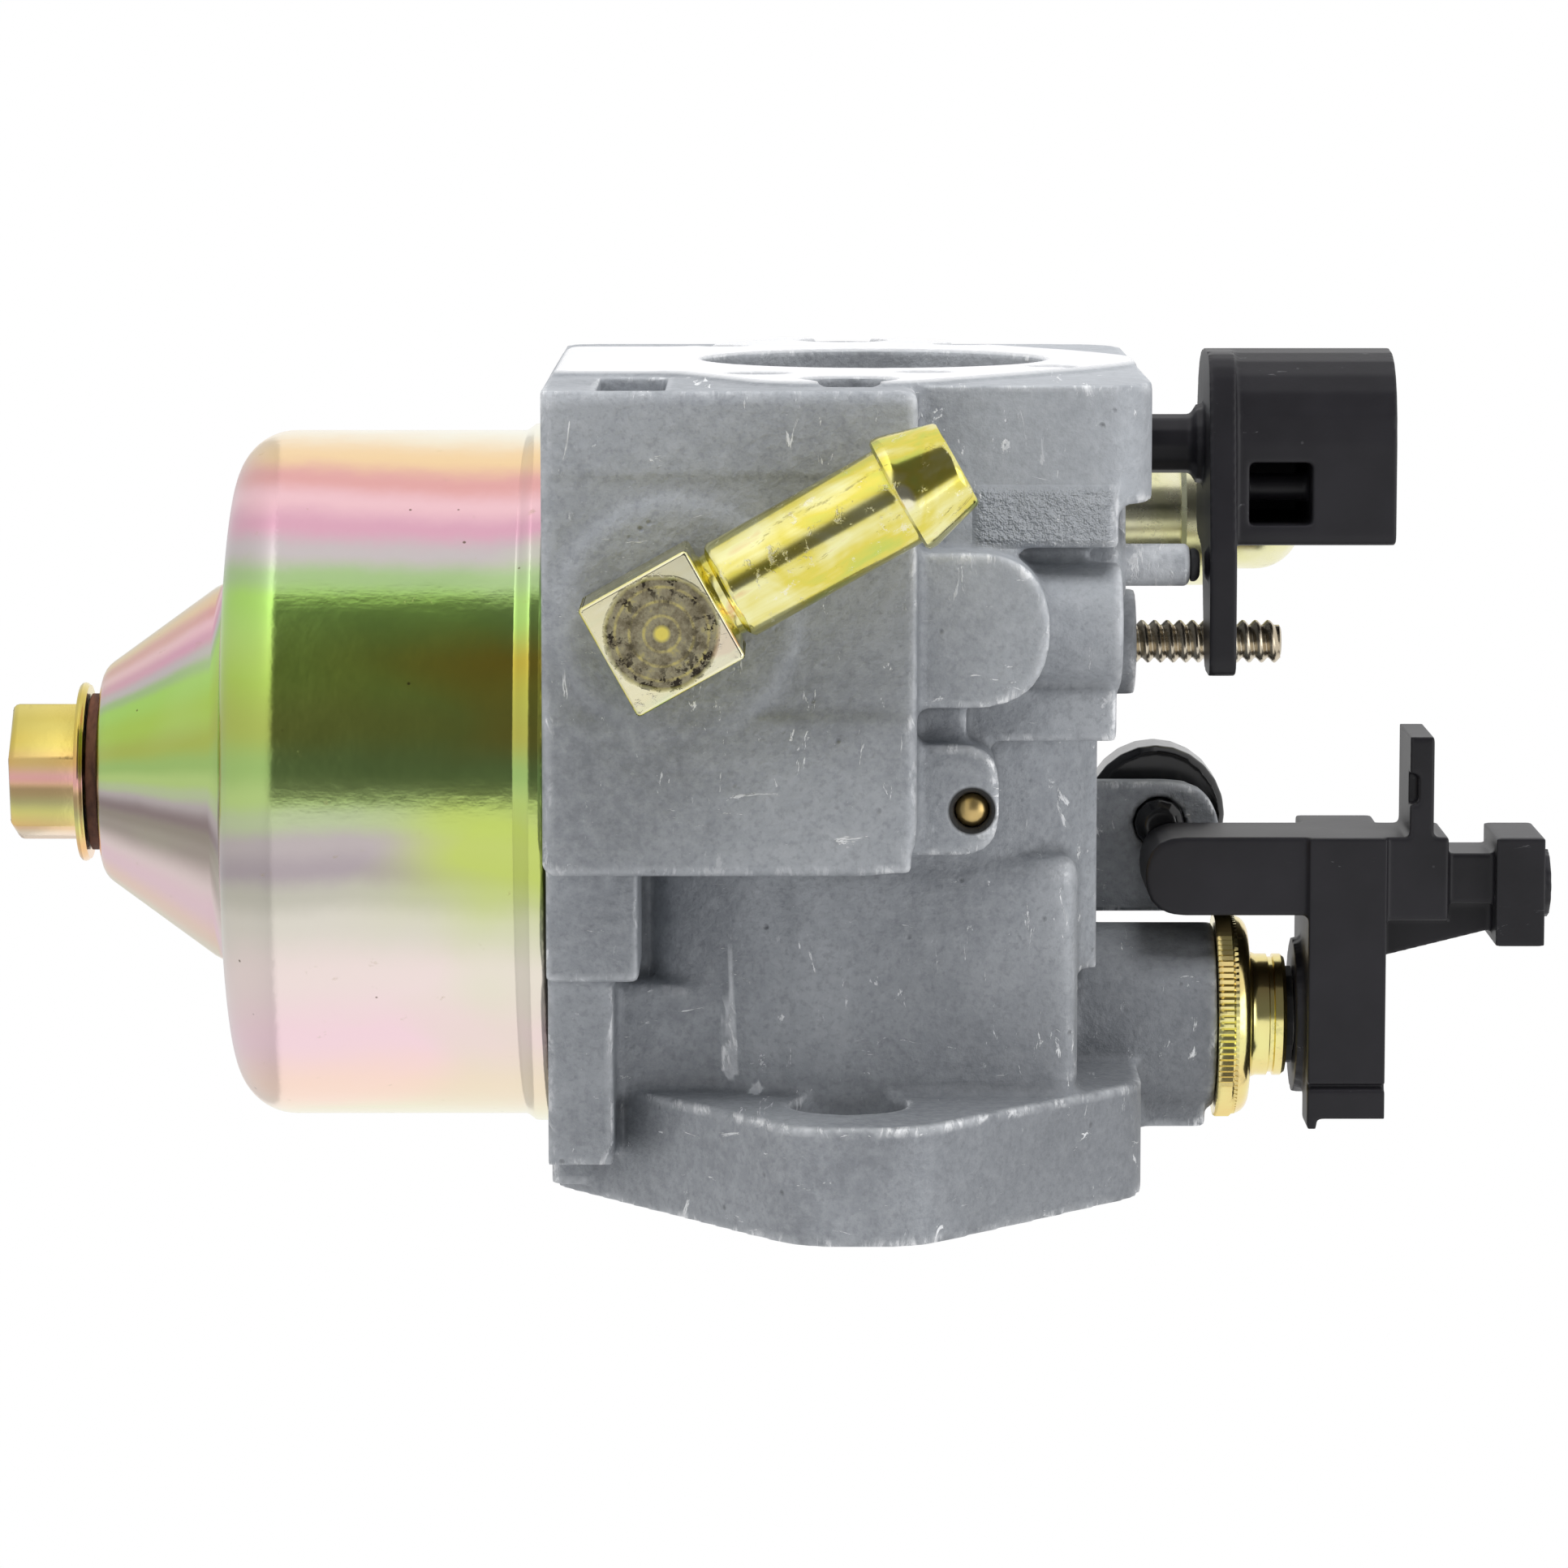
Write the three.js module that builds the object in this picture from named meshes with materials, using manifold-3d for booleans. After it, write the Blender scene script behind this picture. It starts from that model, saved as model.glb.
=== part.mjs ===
// Side-draft float carburetor for a small single-cylinder engine.
// Millimetres. +X is the way the air flows, towards the engine, +Z is up and -Y is the fuel inlet side.
// The origin is the centre of the throttle bore on the outer face of the engine flange.
import * as THREE from 'three';
import { mergeVertices } from 'three/addons/utils/BufferGeometryUtils.js';
import Module from 'manifold-3d';

const wasm = await Module();
wasm.setup();

// ---- driving dimensions ----
// Radial slip, radial seat, gap between faces that meet, and gap around tilted pieces.
const fit = { slip: 0.15, seat: 0.1, face: 0.05, turned: 0.3 };
const bodyLength = 64.1;                                  // engine face to machined intake face
const engineFlange = { thickness: 9, reach: 37, tipHalf: 4, top: 21.7, topHalf: 16.5, bottomHalf: 12 };
const bodyBottom = -24;
const studs = { spacing: 52, z: -1.2, engineHole: 4.45, intakeHole: 3.6 };
const throttleBore = { radius: 12, axisX: -11.7, straight: 25 };
const intakeBore = { radius: 13.6, z: 1, pastShaft: 8.2 };
const venturi = { radius: 9.6, x: -34 };
const intakeFlange = { thickness: 9, halfWidth: 28, top: 21.7, pad: 0.5, cornerRadius: 5 };
const slab = { front: 35, top: 3.8, pastBowlCentre: 3.6 }; // block that carries the near stud and the fuel inlet
const core = { halfWidth: 17, top: 18, stepTop: 16.5, stepX: -18 };
const throat = { halfWidth: 22.5, bottom: -6 };
const bowl = { x: -31.2, radius: 27.1, wall: 0.9, bottom: -49.1, corner: 4.5, rimTop: -24.1, lip: 1.7 };
const sump = { radius: 16, neckRadius: 9, flatRadius: 6.5, bottom: -60 };
const gasket = { inside: 2.1, outside: 0.7, height: 1.4 }; // from the bowl's outer radius
const tower = { wall: 2.45, bore: 2.55 };                  // hollow post that the bowl bolt screws into
const bolt = { shank: 2.9, flange: 7.1, flangeHeight: 1.1, acrossFlats: 10, hexHeight: 5, length: 9, turn: 12 };
const boltWasher = { radius: 6.25, thickness: 0.9 };
const chokeShaft = { inset: 6.8, radius: 2.35, below: 4.2, collar: 3.1, sealWidth: 1.65 };
const chokeLever = { z: 27, thickness: 2.1, hub: 7.5, handleTop: 41.7, reach: 17.5 };
const throttleShaft = { radius: 2.9, below: 4.2, bossWall: 4.35, bossTop: 28.1 };
const cap = { overhang: 0.75, height: 2.6, neck: 4.85, top: 33.75, knurls: 24 };
const throttleLever = { z: 35.1, thickness: 6.1, front: 8, back: 2, reach: 15.2, armWidth: 6.2, armBottom: 22.3 };
const stopScrew = { fromShaft: 14.9, z: 24, knob: 5.6, shank: 2, lugWidth: 10.5, lugLeft: 3.3, lugY: 3.6, lugDepth: 3 };
const coverStud = { x: -41.6, radius: 1.7, root: 1.35, pitch: 1, top: 33.3, bossWall: 2.5, bossTop: 21.7 };
const detent = { fromShaft: 8.9, y: -8, radius: 1.65, top: 25.5, tip: 0.8 };
const inlet = { z: -14.9, tilt: 29.3, block: 9, standOff: 1, spigot: 3.4, tube: 3.82, barb: 4.53, bore: 2.2 };
const inletLengths = { neck: 1.1, tube: 14, barb: 5, spigotDepth: 8 };
const ventFitting = { x: -50, y: 20, stem: 4.5, ring: 5.75, barrel: 4.4, ringZ: 26.9, top: 36.4 };
const float = { wallGap: 6.1, towerGap: 3, top: -33, bottom: -46, pinGap: 0.3, pinRadius: 0.9, pinZ: -28.4 };
const pinEar = { back: 1.8, front: 2.4, inside: 5.2, outside: 7.4, below: 2.2 };   // about the float pin
const needle = { radius: 1.7, top: -18.2, fromPin: 5.8, seatWall: 1.3 };
const pilot = { x: -24, y: 12.8, radius: 2.3 };
const plug = { x: -32, z: 8, radius: 1.3, front: -30.9, length: 5.4 }; // end of a drilled passage
const welch = { x: -27, y: -9, radius: 4, depth: 1 };       // pressed disc over the idle pocket
const facets = { large: 36, medium: 24, small: 12 };

const intakeX = -bodyLength + intakeFlange.pad;
const intakeBack = intakeX + intakeFlange.thickness;
const slabBack = bowl.x + slab.pastBowlCentre;
const chokeX = -bodyLength + chokeShaft.inset;
const throttleX = throttleBore.axisX;
const bossRadius = throttleShaft.radius + throttleShaft.bossWall + fit.slip;
const towerRadius = Math.max(tower.bore, bolt.shank + fit.slip) + tower.wall;
const floatOuter = bowl.radius - float.wallGap;
const floatInner = towerRadius + float.towerGap;
const pinX = bowl.x - floatOuter - float.pinGap;
const seatX = pinX + needle.fromPin;
const gasketInner = bowl.radius - gasket.inside;
const gasketOuter = bowl.radius + gasket.outside;
const stopX = throttleX - stopScrew.fromShaft;
const detentX = chokeX + detent.fromShaft;
const capRadius = bossRadius + cap.overhang;
const seatRadius = needle.radius + needle.seatWall;
const seatTop = needle.top + 2;
const plugEnd = plug.front + plug.length;

// ---- geometry helpers ----
function solid(geometry) {
  const bare = geometry.index ? geometry.toNonIndexed() : geometry.clone();
  bare.deleteAttribute('normal');
  bare.deleteAttribute('uv');
  const merged = mergeVertices(bare, 1e-5);
  return new wasm.Manifold(new wasm.Mesh({
    numProp: 3,
    vertProperties: new Float32Array(merged.attributes.position.array),
    triVerts: new Uint32Array(merged.index.array),
  }));
}

function geometryOf(manifold) {
  const mesh = manifold.getMesh();
  const geometry = new THREE.BufferGeometry();
  geometry.setAttribute('position', new THREE.BufferAttribute(new Float32Array(mesh.vertProperties), 3));
  geometry.setIndex(new THREE.BufferAttribute(new Uint32Array(mesh.triVerts), 1));
  return geometry;
}

const joined = (...pieces) => pieces.reduce((whole, piece) => whole.add(piece));
const cutBy = (whole, ...tools) => whole.subtract(joined(...tools));

// A block between two corners.
function block([x0, y0, z0], [x1, y1, z1]) {
  const geometry = new THREE.BoxGeometry(x1 - x0, y1 - y0, z1 - z0);
  geometry.translate((x0 + x1) / 2, (y0 + y1) / 2, (z0 + z1) / 2);
  return solid(geometry);
}

// An outline of [u, v] corners, each rounded by its radius where a third value is given.
function outline(corners, steps = 5) {
  const shape = new THREE.Shape();
  const count = corners.length;
  corners.forEach(([u, v, radius = 0], i) => {
    const here = new THREE.Vector2(u, v);
    const before = new THREE.Vector2(...corners[(i + count - 1) % count].slice(0, 2));
    const after = new THREE.Vector2(...corners[(i + 1) % count].slice(0, 2));
    const entry = here.clone().add(before.sub(here).setLength(radius));
    const exit = here.clone().add(after.sub(here).setLength(radius));
    if (i === 0) shape.moveTo(entry.x, entry.y);
    else shape.lineTo(entry.x, entry.y);
    if (radius > 0) shape.quadraticCurveTo(u, v, exit.x, exit.y);
  });
  shape.closePath();
  shape.userData = { steps };
  return shape;
}

// Extrusions of an outline: in YZ along X, in XZ along Y and in XY along Z.
function extruded(shape, depth) {
  const curveSegments = shape.userData?.steps ?? 12;
  return new THREE.ExtrudeGeometry(shape, { depth, bevelEnabled: false, curveSegments });
}

function alongX(shape, from, to) {
  const geometry = extruded(shape, to - from);
  geometry.applyMatrix4(new THREE.Matrix4().set(0, 0, 1, from, 1, 0, 0, 0, 0, 1, 0, 0, 0, 0, 0, 1));
  return solid(geometry);
}

function alongY(shape, from, to) {
  const geometry = extruded(shape, to - from);
  geometry.applyMatrix4(new THREE.Matrix4().set(1, 0, 0, 0, 0, 0, -1, to, 0, 1, 0, 0, 0, 0, 0, 1));
  return solid(geometry);
}

function alongZ(shape, from, to) {
  const geometry = extruded(shape, to - from);
  geometry.translate(0, 0, from);
  return solid(geometry);
}

// A turned piece: [radius, height] points, from axis to axis or closed on itself.
function turned(profile, sides, place) {
  const points = profile.map(([r, h]) => new THREE.Vector2(r, h));
  const geometry = new THREE.LatheGeometry(points, sides);
  geometry.applyMatrix4(place);
  return solid(geometry);
}

const placeAlong = {
  x: (y, z) => new THREE.Matrix4().set(0, 1, 0, 0, 0, 0, 1, y, 1, 0, 0, z, 0, 0, 0, 1),
  y: (x, z) => new THREE.Matrix4().set(1, 0, 0, x, 0, 1, 0, 0, 0, 0, 1, z, 0, 0, 0, 1),
  z: (x, y) => new THREE.Matrix4().set(0, 0, 1, x, 1, 0, 0, y, 0, 1, 0, 0, 0, 0, 0, 1),
};

const turnedX = (profile, y, z, sides = facets.medium) => turned(profile, sides, placeAlong.x(y, z));
const turnedY = (profile, x, z, sides = facets.medium) => turned(profile, sides, placeAlong.y(x, z));
const turnedZ = (profile, x, y, sides = facets.medium) => turned(profile, sides, placeAlong.z(x, y));
const bar = (radius, from, to) => [[0, from], [radius, from], [radius, to], [0, to]];
const ring = (inner, outer, from, to) => [[inner, from], [outer, from], [outer, to], [inner, to], [inner, from]];

function mirroredY(corners) {
  return [...corners, ...corners.map(([y, ...rest]) => [-y, ...rest]).reverse()];
}

// ---- the casting ----
function engineFlangePlate() {
  const f = engineFlange;
  const half = [[-f.bottomHalf, bodyBottom, 2], [-f.reach, -f.tipHalf - 1, 3],
    [-f.reach, f.tipHalf, 3], [-f.topHalf, f.top, 2.5]];
  return alongX(outline(mirroredY(half)), -f.thickness, 0);
}

function intakeFlangePlate() {
  const f = intakeFlange;
  const half = [[-f.halfWidth, bodyBottom, 2], [-f.halfWidth, f.top, f.cornerRadius]];
  const plate = alongX(outline(mirroredY(half)), intakeX, intakeBack);
  const padHalf = [[-16, bodyBottom + 0.5, 1], [-16, -14, 2], [-studs.spacing / 2 - 3, -7, 3],
    [-studs.spacing / 2 - 3, 3, 3], [-10, 18, 3], [-3, f.top - 0.2, 2]];
  return plate.add(alongX(outline(mirroredY(padHalf)), -bodyLength, intakeX + 1));
}

// The near side: the tall block, the D-shaped pad on it and the bosses above it.
function inletSide() {
  const front = -slab.front;
  const face = outline([[intakeX, bodyBottom], [slabBack, bodyBottom, 0.8], [slabBack, slab.top, 3.5],
    [intakeX, slab.top, 0.8]]);
  const pad = outline([[-51.5, 2], [-39.9, 2], [-39.9, 13.7, 5.8], [-51.5, 13.7, 5.8]], 8);
  const plugBoss = outline([[-37, 2], [-28.6, 2], [-28.6, 10, 3], [-37, 10, 3]]);
  return joined(
    alongY(face, front, -core.halfWidth + 2),
    alongY(pad, front + 2, -core.halfWidth + 2),
    turnedZ(bar(4.7, 0, 19.4), -45.3, -24),
    block([-56.3, -28, 2], [-51.4, -core.halfWidth + 2, 19]),
    block([-52, -24, 2], [-45.3, -core.halfWidth + 2, 17]),
    block([-40.5, -26.5, 2], [-36.7, -core.halfWidth + 2, 19]),
    block([-42, -29, 2], [-36.7, -core.halfWidth + 2, 7.6]),
    alongY(plugBoss, front + 4, -core.halfWidth + 2),
  );
}

// The far side, which holds the other stud and the seat of the vent fitting.
function farSide() {
  const studY = studs.spacing / 2;
  const wall = 3;
  const half = studs.intakeHole + wall;
  return joined(
    turnedX(bar(half, intakeX, slabBack), studY, studs.z),
    block([intakeX, core.halfWidth - 2, studs.z - half], [slabBack, studY, studs.z + half]),
    turnedZ(bar(6.8, -2, intakeFlange.top), ventFitting.x, ventFitting.y),
  );
}

function middle() {
  const sections = [[-throat.halfWidth + 4, throat.bottom - 10, 2], [-throat.halfWidth, throat.bottom, 4],
    [-throat.halfWidth, 12, 5], [-core.halfWidth, core.top, 2]];
  const stepped = sections.map(([y, z, r]) => [y, Math.min(z, core.stepTop), r]);
  stepped[2][1] = 11;
  return joined(
    block([intakeX + 1, -core.halfWidth, bodyBottom], [-1, core.halfWidth, core.stepTop - 1]),
    block([-38, -core.halfWidth, 0], [core.stepX, core.halfWidth, core.top]),
    alongX(outline(mirroredY(sections)), -38, core.stepX),
    alongX(outline(mirroredY(stepped)), core.stepX - 1, -engineFlange.thickness + 1),
  );
}

function bowlSeat() {
  const lip = bowl.radius + bowl.lip;
  return joined(
    turnedZ(bar(lip, bodyBottom, bodyBottom + 4.8), bowl.x, 0, facets.large),
    block([-29, -28, bodyBottom], [-18.5, 28, bodyBottom + 7]),
    block([-19, -25, bodyBottom], [-4, 25, bodyBottom + 5]),
    turnedZ(bar(towerRadius, sump.bottom + bowl.wall + fit.face, bodyBottom + 6), bowl.x, 0),
  );
}

function topBosses() {
  const s = stopScrew;
  const lugLeft = stopX - s.lugLeft;
  const underCap = throttleShaft.bossTop - fit.face;
  const capEdge = throttleX - capRadius - fit.turned;
  const lug = outline([[lugLeft, 10], [lugLeft + s.lugWidth, 10], [lugLeft + s.lugWidth, underCap],
    [capEdge, underCap], [capEdge, s.z + 4.9], [lugLeft, s.z + 4.9, 4.5]]);
  const foot = detent.radius + 1.75;
  return joined(
    turnedZ(bar(bossRadius, 8, throttleShaft.bossTop), throttleX, 0),
    block([throttleX, -4.5, 8], [throttleX + bossRadius + 1, 4.5, throttleShaft.bossTop - 0.8]),
    alongY(lug, s.lugY, s.lugY + s.lugDepth),
    turnedZ(bar(coverStud.radius + coverStud.bossWall, 10, coverStud.bossTop), coverStud.x, 0),
    block([intakeBack - 0.5, -11, 10], [-36.7, 12, core.stepTop + 1]),
    turnedZ([[0, 12], [foot, 12], [foot, 19.5], [foot - 1, 20.6], [0, 20.6]], detentX, detent.y),
  );
}

// The air passage is turned about X in two parts, because the intake mouth sits a little higher.
function airPassage() {
  const mouth = -bodyLength - 1;
  const mouthEnd = chokeX + intakeBore.pastShaft;
  const middleProfile = [[0, mouthEnd - 3], [intakeBore.radius - 1, mouthEnd - 3],
    [intakeBore.radius - 1, mouthEnd], [venturi.radius + 1.2, -44], [venturi.radius, -38],
    [venturi.radius, venturi.x], [throttleBore.radius - 1, -28.5],
    [throttleBore.radius, -throttleBore.straight], [throttleBore.radius, 1], [0, 1]];
  return joined(
    turnedX(bar(intakeBore.radius, mouth, mouthEnd), 0, intakeBore.z, facets.large),
    turnedX(middleProfile, 0, 0, facets.large),
  );
}

function studHoles() {
  const holes = [];
  for (const side of [-1, 1]) {
    const y = side * studs.spacing / 2;
    holes.push(turnedX(bar(studs.intakeHole, -bodyLength - 1, slabBack + 1), y, studs.z));
    holes.push(turnedX(bar(studs.engineHole, slabBack + 2.5, 1), y, studs.z));
  }
  return joined(...holes);
}

function shaftBores() {
  const c = chokeShaft;
  const chokeBottom = intakeBore.z - intakeBore.radius - c.below;
  const throttleBottom = -throttleBore.radius - throttleShaft.below;
  return joined(
    turnedZ(bar(c.radius + fit.slip, chokeBottom - fit.seat, 30), chokeX, 0, facets.small),
    turnedZ(bar(c.radius + c.sealWidth + fit.seat, intakeFlange.top - 2, 30), chokeX, 0, facets.small),
    turnedZ(bar(throttleShaft.radius + fit.slip, throttleBottom - fit.seat, 30), throttleX, 0, facets.small),
  );
}

function fuelPassages() {
  const passage = 1;
  const front = -slab.front;
  const towerBottom = sump.bottom + bowl.wall;
  return joined(
    turnedY(bar(inlet.spigot + fit.turned, front - 1, front + inletLengths.spigotDepth), seatX, inlet.z),
    turnedY(bar(passage, front + 4, passage), seatX, inlet.z, facets.small),
    turnedZ(bar(seatRadius + fit.seat, bodyBottom - 1, seatTop + fit.seat), seatX, 0, facets.small),
    turnedZ(bar(passage - 0.2, seatTop - 1, inlet.z), seatX, 0, facets.small),
    turnedZ(bar(bolt.shank + fit.slip, towerBottom - 1, towerBottom + bolt.length), bowl.x, 0, facets.small),
    turnedZ(bar(tower.bore, towerBottom + 1, -8), bowl.x, 0, facets.small),
    turnedZ(ring(gasketInner - fit.seat, gasketOuter + fit.seat, bodyBottom - 1,
      bowl.rimTop + gasket.height + fit.seat), bowl.x, 0, facets.large),
    turnedZ(bar(pilot.radius + fit.slip, 4, 30), pilot.x, pilot.y, facets.small),
  );
}

// Air bleeds in the intake face: [y, z, radius, depth].
const airBleeds = [[-19.5, -8, 2.4, 7], [-17.8, 4.6, 2.1, 9], [-10.5, 14.6, 1.9, 9], [20.5, 8.6, 2.4, 10],
  [17.6, -11, 1.9, 8]];

function smallHoles() {
  const s = stopScrew;
  const bleeds = airBleeds.map(([y, z, radius, depth]) =>
    turnedX(bar(radius, -bodyLength - 1, -bodyLength + depth), y, z, facets.small));
  return joined(
    ...bleeds,
    turnedZ(bar(coverStud.radius + fit.seat, 12, 30), coverStud.x, 0, facets.small),
    turnedZ(bar(detent.radius + fit.seat, 14, 30), detentX, detent.y, facets.small),
    turnedY(bar(s.shank + fit.seat, s.lugY - 1, s.lugY + s.lugDepth + 1), stopX, s.z, facets.small),
    turnedZ(bar(ventFitting.stem - 1.2 + fit.seat, 10, 30), ventFitting.x, ventFitting.y),
    turnedY(bar(plug.radius + fit.seat, -slab.front, plugEnd), plug.x, plug.z, facets.small),
    turnedZ(bar(welch.radius + fit.seat, core.top - welch.depth, 30), welch.x, welch.y, facets.small),
    block([intakeX - 1, -34, bodyBottom + 4], [intakeX + 2.2, -18, bodyBottom + 9]),
  );
}

function carburetorBody() {
  const casting = joined(engineFlangePlate(), intakeFlangePlate(), inletSide(), farSide(), middle(),
    bowlSeat(), topBosses());
  return cutBy(casting, airPassage(), studHoles(), shaftBores(), fuelPassages(), smallHoles());
}

// ---- the float chamber ----
function floatBowl() {
  const { radius, wall, bottom, corner, rimTop } = bowl;
  const steps = 5;
  const arc = (r, height, size) => Array.from({ length: steps + 1 }, (_, i) => {
    const a = (i / steps) * Math.PI / 2;
    return [r - size + size * Math.sin(a), height + size - size * Math.cos(a)];
  });
  const hole = bolt.shank + fit.slip;
  const outer = [[hole, sump.bottom], [sump.flatRadius, sump.bottom], [sump.neckRadius, sump.bottom + 1],
    [sump.radius - 1.7, bottom - 2.4], [sump.radius, bottom], ...arc(radius, bottom, corner),
    [radius, rimTop - 1.9], [radius + 0.55, rimTop - 1.3], [radius + 0.45, rimTop]];
  const inner = [[radius - wall, rimTop], ...arc(radius - wall, bottom + wall, corner - wall).reverse(),
    [sump.radius - wall, bottom + wall], [sump.radius - 1.7 - wall, bottom - 2.2],
    [sump.neckRadius - wall, sump.bottom + 1.5], [sump.flatRadius, sump.bottom + wall],
    [hole, sump.bottom + wall], [hole, sump.bottom]];
  return turnedZ([...outer, ...inner], bowl.x, 0, facets.large);
}

const bowlGasket = () => turnedZ(
  ring(gasketInner, gasketOuter, bowl.rimTop + fit.face, bowl.rimTop + gasket.height), bowl.x, 0, facets.large);

const washerTop = sump.bottom - fit.face;
const washerBottom = washerTop - boltWasher.thickness;

const bowlBoltWasher = () => turnedZ(
  ring(bolt.shank + fit.slip, boltWasher.radius, washerBottom, washerTop), bowl.x, 0);

function bowlBolt() {
  const seat = washerBottom - fit.face;
  const hexTop = seat - bolt.flangeHeight;
  const hexBottom = hexTop - bolt.hexHeight;
  const hexRadius = bolt.acrossFlats / Math.sqrt(3);
  const hex = solid(new THREE.CylinderGeometry(hexRadius, hexRadius, bolt.hexHeight + 0.5, 6)
    .rotateX(Math.PI / 2).rotateZ(THREE.MathUtils.degToRad(bolt.turn))
    .translate(bowl.x, 0, hexBottom + (bolt.hexHeight + 0.5) / 2));
  const chamfer = turnedZ([[0, hexBottom], [hexRadius - 1.1, hexBottom], [hexRadius + 0.1, hexBottom + 1],
    [hexRadius + 0.1, hexTop + 1], [0, hexTop + 1]], bowl.x, 0);
  const turnedPart = turnedZ([[0, hexTop - 0.5], [4.4, hexTop - 0.5], [bolt.flange - 0.5, hexTop],
    [bolt.flange, hexTop + 0.4], [bolt.flange, seat], [bolt.shank, seat],
    [bolt.shank, sump.bottom + bowl.wall + bolt.length - 1], [bolt.shank - 0.5, sump.bottom + bolt.length],
    [0, sump.bottom + bolt.length]], bowl.x, 0);
  return joined(hex.intersect(chamfer), turnedPart);
}

// Hollow ring float, open on the pin side, with the arm that carries the needle.
function floatPiece() {
  const gapHalf = 6;
  const hinge = turnedY(bar(float.pinRadius + 1.3, -4.5, 4.5), pinX, float.pinZ, facets.small);
  const cut = block([bowl.x - floatOuter - 1, -gapHalf, float.bottom - 1], [bowl.x, gapHalf, float.top - 3]);
  const floatRing = turnedZ(ring(floatInner, floatOuter, float.bottom, float.top), bowl.x, 0);
  const arm = joined(
    block([pinX, -4.5, float.pinZ - 1.4], [pinX + 10.5, 4.5, float.pinZ + 0.2]),
    block([pinX + 8.5, -4.5, float.top - 2], [pinX + 10.5, 4.5, float.pinZ]),
    hinge,
  );
  return cutBy(joined(floatRing.subtract(cut), arm),
    turnedY(bar(float.pinRadius + fit.slip, -10, 10), pinX, float.pinZ, facets.small));
}

const floatPin = () => turnedY(bar(float.pinRadius, -7.6, 7.6), pinX, float.pinZ, facets.small);

// Two ears under the casting hold the pin.
function pinEars() {
  const e = pinEar;
  const ears = [-1, 1].map((side) => {
    const [from, to] = [side * e.inside, side * e.outside].sort((a, b) => a - b);
    return block([pinX - e.back, from, float.pinZ - e.below], [pinX + e.front, to, bodyBottom + 3]);
  });
  return joined(...ears).subtract(
    turnedY(bar(float.pinRadius + fit.seat, -10, 10), pinX, float.pinZ, facets.small));
}

function needleSeat() {
  const bore = needle.radius + fit.slip;
  const orifice = 0.7;
  return cutBy(
    turnedZ([[0, bodyBottom - 0.4], [seatRadius - 0.4, bodyBottom - 0.4], [seatRadius, bodyBottom],
      [seatRadius, seatTop], [0, seatTop]], seatX, 0, facets.small),
    turnedZ([[0, bodyBottom - 1], [bore, bodyBottom - 1], [bore, needle.top - 1],
      [orifice, needle.top + 0.9], [orifice, seatTop + 0.2], [0, seatTop + 0.2]], seatX, 0, facets.small),
    turnedZ(bar(orifice, needle.top, seatTop + 1), seatX, 0, facets.small),
  );
}

function floatNeedle() {
  const foot = float.pinZ + 0.2 + fit.seat;
  return turnedZ([[0, foot], [0.9, foot], [0.9, foot + 0.8], [needle.radius, foot + 1.2],
    [needle.radius, needle.top - 2.6], [0.3, needle.top - 0.9], [0, needle.top - 0.9]],
  seatX, 0, facets.small);
}

// ---- jets ----
const jetBottom = sump.bottom + bowl.wall + bolt.length + 0.3;

const mainJet = () => turnedZ([[0.5, jetBottom], [tower.bore - fit.slip, jetBottom],
  [tower.bore - fit.slip, jetBottom + 3.6], [0.5, jetBottom + 3.6], [0.5, jetBottom]],
bowl.x, 0, facets.small);

const emulsionTube = () => turnedZ([[1, jetBottom + 3.7], [tower.bore - fit.slip, jetBottom + 3.7],
  [tower.bore - fit.slip, jetBottom + 9], [1.9, jetBottom + 9.6], [1.9, -18],
  [tower.bore - fit.slip, -17.4], [tower.bore - fit.slip, -6.4], [1, -6.4], [1, jetBottom + 3.7]],
bowl.x, 0, facets.small);

const pilotJet = () => turnedZ([[0, 6], [pilot.radius - 1.1, 6], [pilot.radius, 8],
  [pilot.radius, core.top - 0.4], [0.8, core.top - 0.4], [0.8, core.top - 1.4], [0, core.top - 1.4]],
pilot.x, pilot.y, facets.small);

// ---- choke ----
const slotHalf = 0.6;
const chokePlateRadius = intakeBore.radius - 0.3;

function chokeLeverPiece() {
  const c = chokeShaft;
  const l = chokeLever;
  const x = chokeX;
  const shaftBottom = intakeBore.z - intakeBore.radius - c.below;
  const armEnd = x + l.reach;
  const top = l.z + l.thickness;
  const armShape = outline([[x - l.hub, -l.hub, 3], [x + l.hub, -10.5, 2], [armEnd, -10.5, 1.5],
    [armEnd, -3.4, 1.5], [x + l.hub + 1, 0, 2], [x + l.hub, l.hub, 2], [x - l.hub, l.hub, 7]]);
  const handleShape = outline([[x + l.hub, -l.hub, 0.8], [x + l.hub, l.hub, 0.8],
    [x - l.hub, l.hub, 7], [x - l.hub, -l.hub, 7]], 6);
  const shaft = turnedZ([[0, shaftBottom], [c.radius, shaftBottom], [c.radius, l.z - 1],
    [c.collar, l.z - 0.6], [c.collar, top], [0, top]], x, 0, facets.small);
  const slotEnd = chokePlateRadius + 0.2;
  const slot = block([x - slotHalf - fit.seat, -5, intakeBore.z - slotEnd],
    [x + slotHalf + fit.seat, 5, intakeBore.z + slotEnd]);
  const window = block([x + 1, -l.hub - 1, top + 1.1], [x + 5.9, l.hub - 2, top + 6]);
  const innerPost = turnedZ(bar(1.1, top - 0.5, top + 7), x + 3.2, -3.2, facets.small);
  const bump = turnedZ([[0, l.z - 0.35], [1.1, l.z - 0.35], [1.6, l.z + 0.5], [0, l.z + 0.5]],
    detentX, detent.y, facets.small);
  const cavity = block([x - 4.6, -l.hub + 2, top + 6.9], [x + 5.6, l.hub - 2, l.handleTop + 1]);
  return joined(
    shaft.subtract(slot),
    alongZ(armShape, l.z, top),
    alongZ(handleShape, top - 0.5, l.handleTop).subtract(joined(window, cavity)),
    innerPost,
    bump,
  );
}

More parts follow.
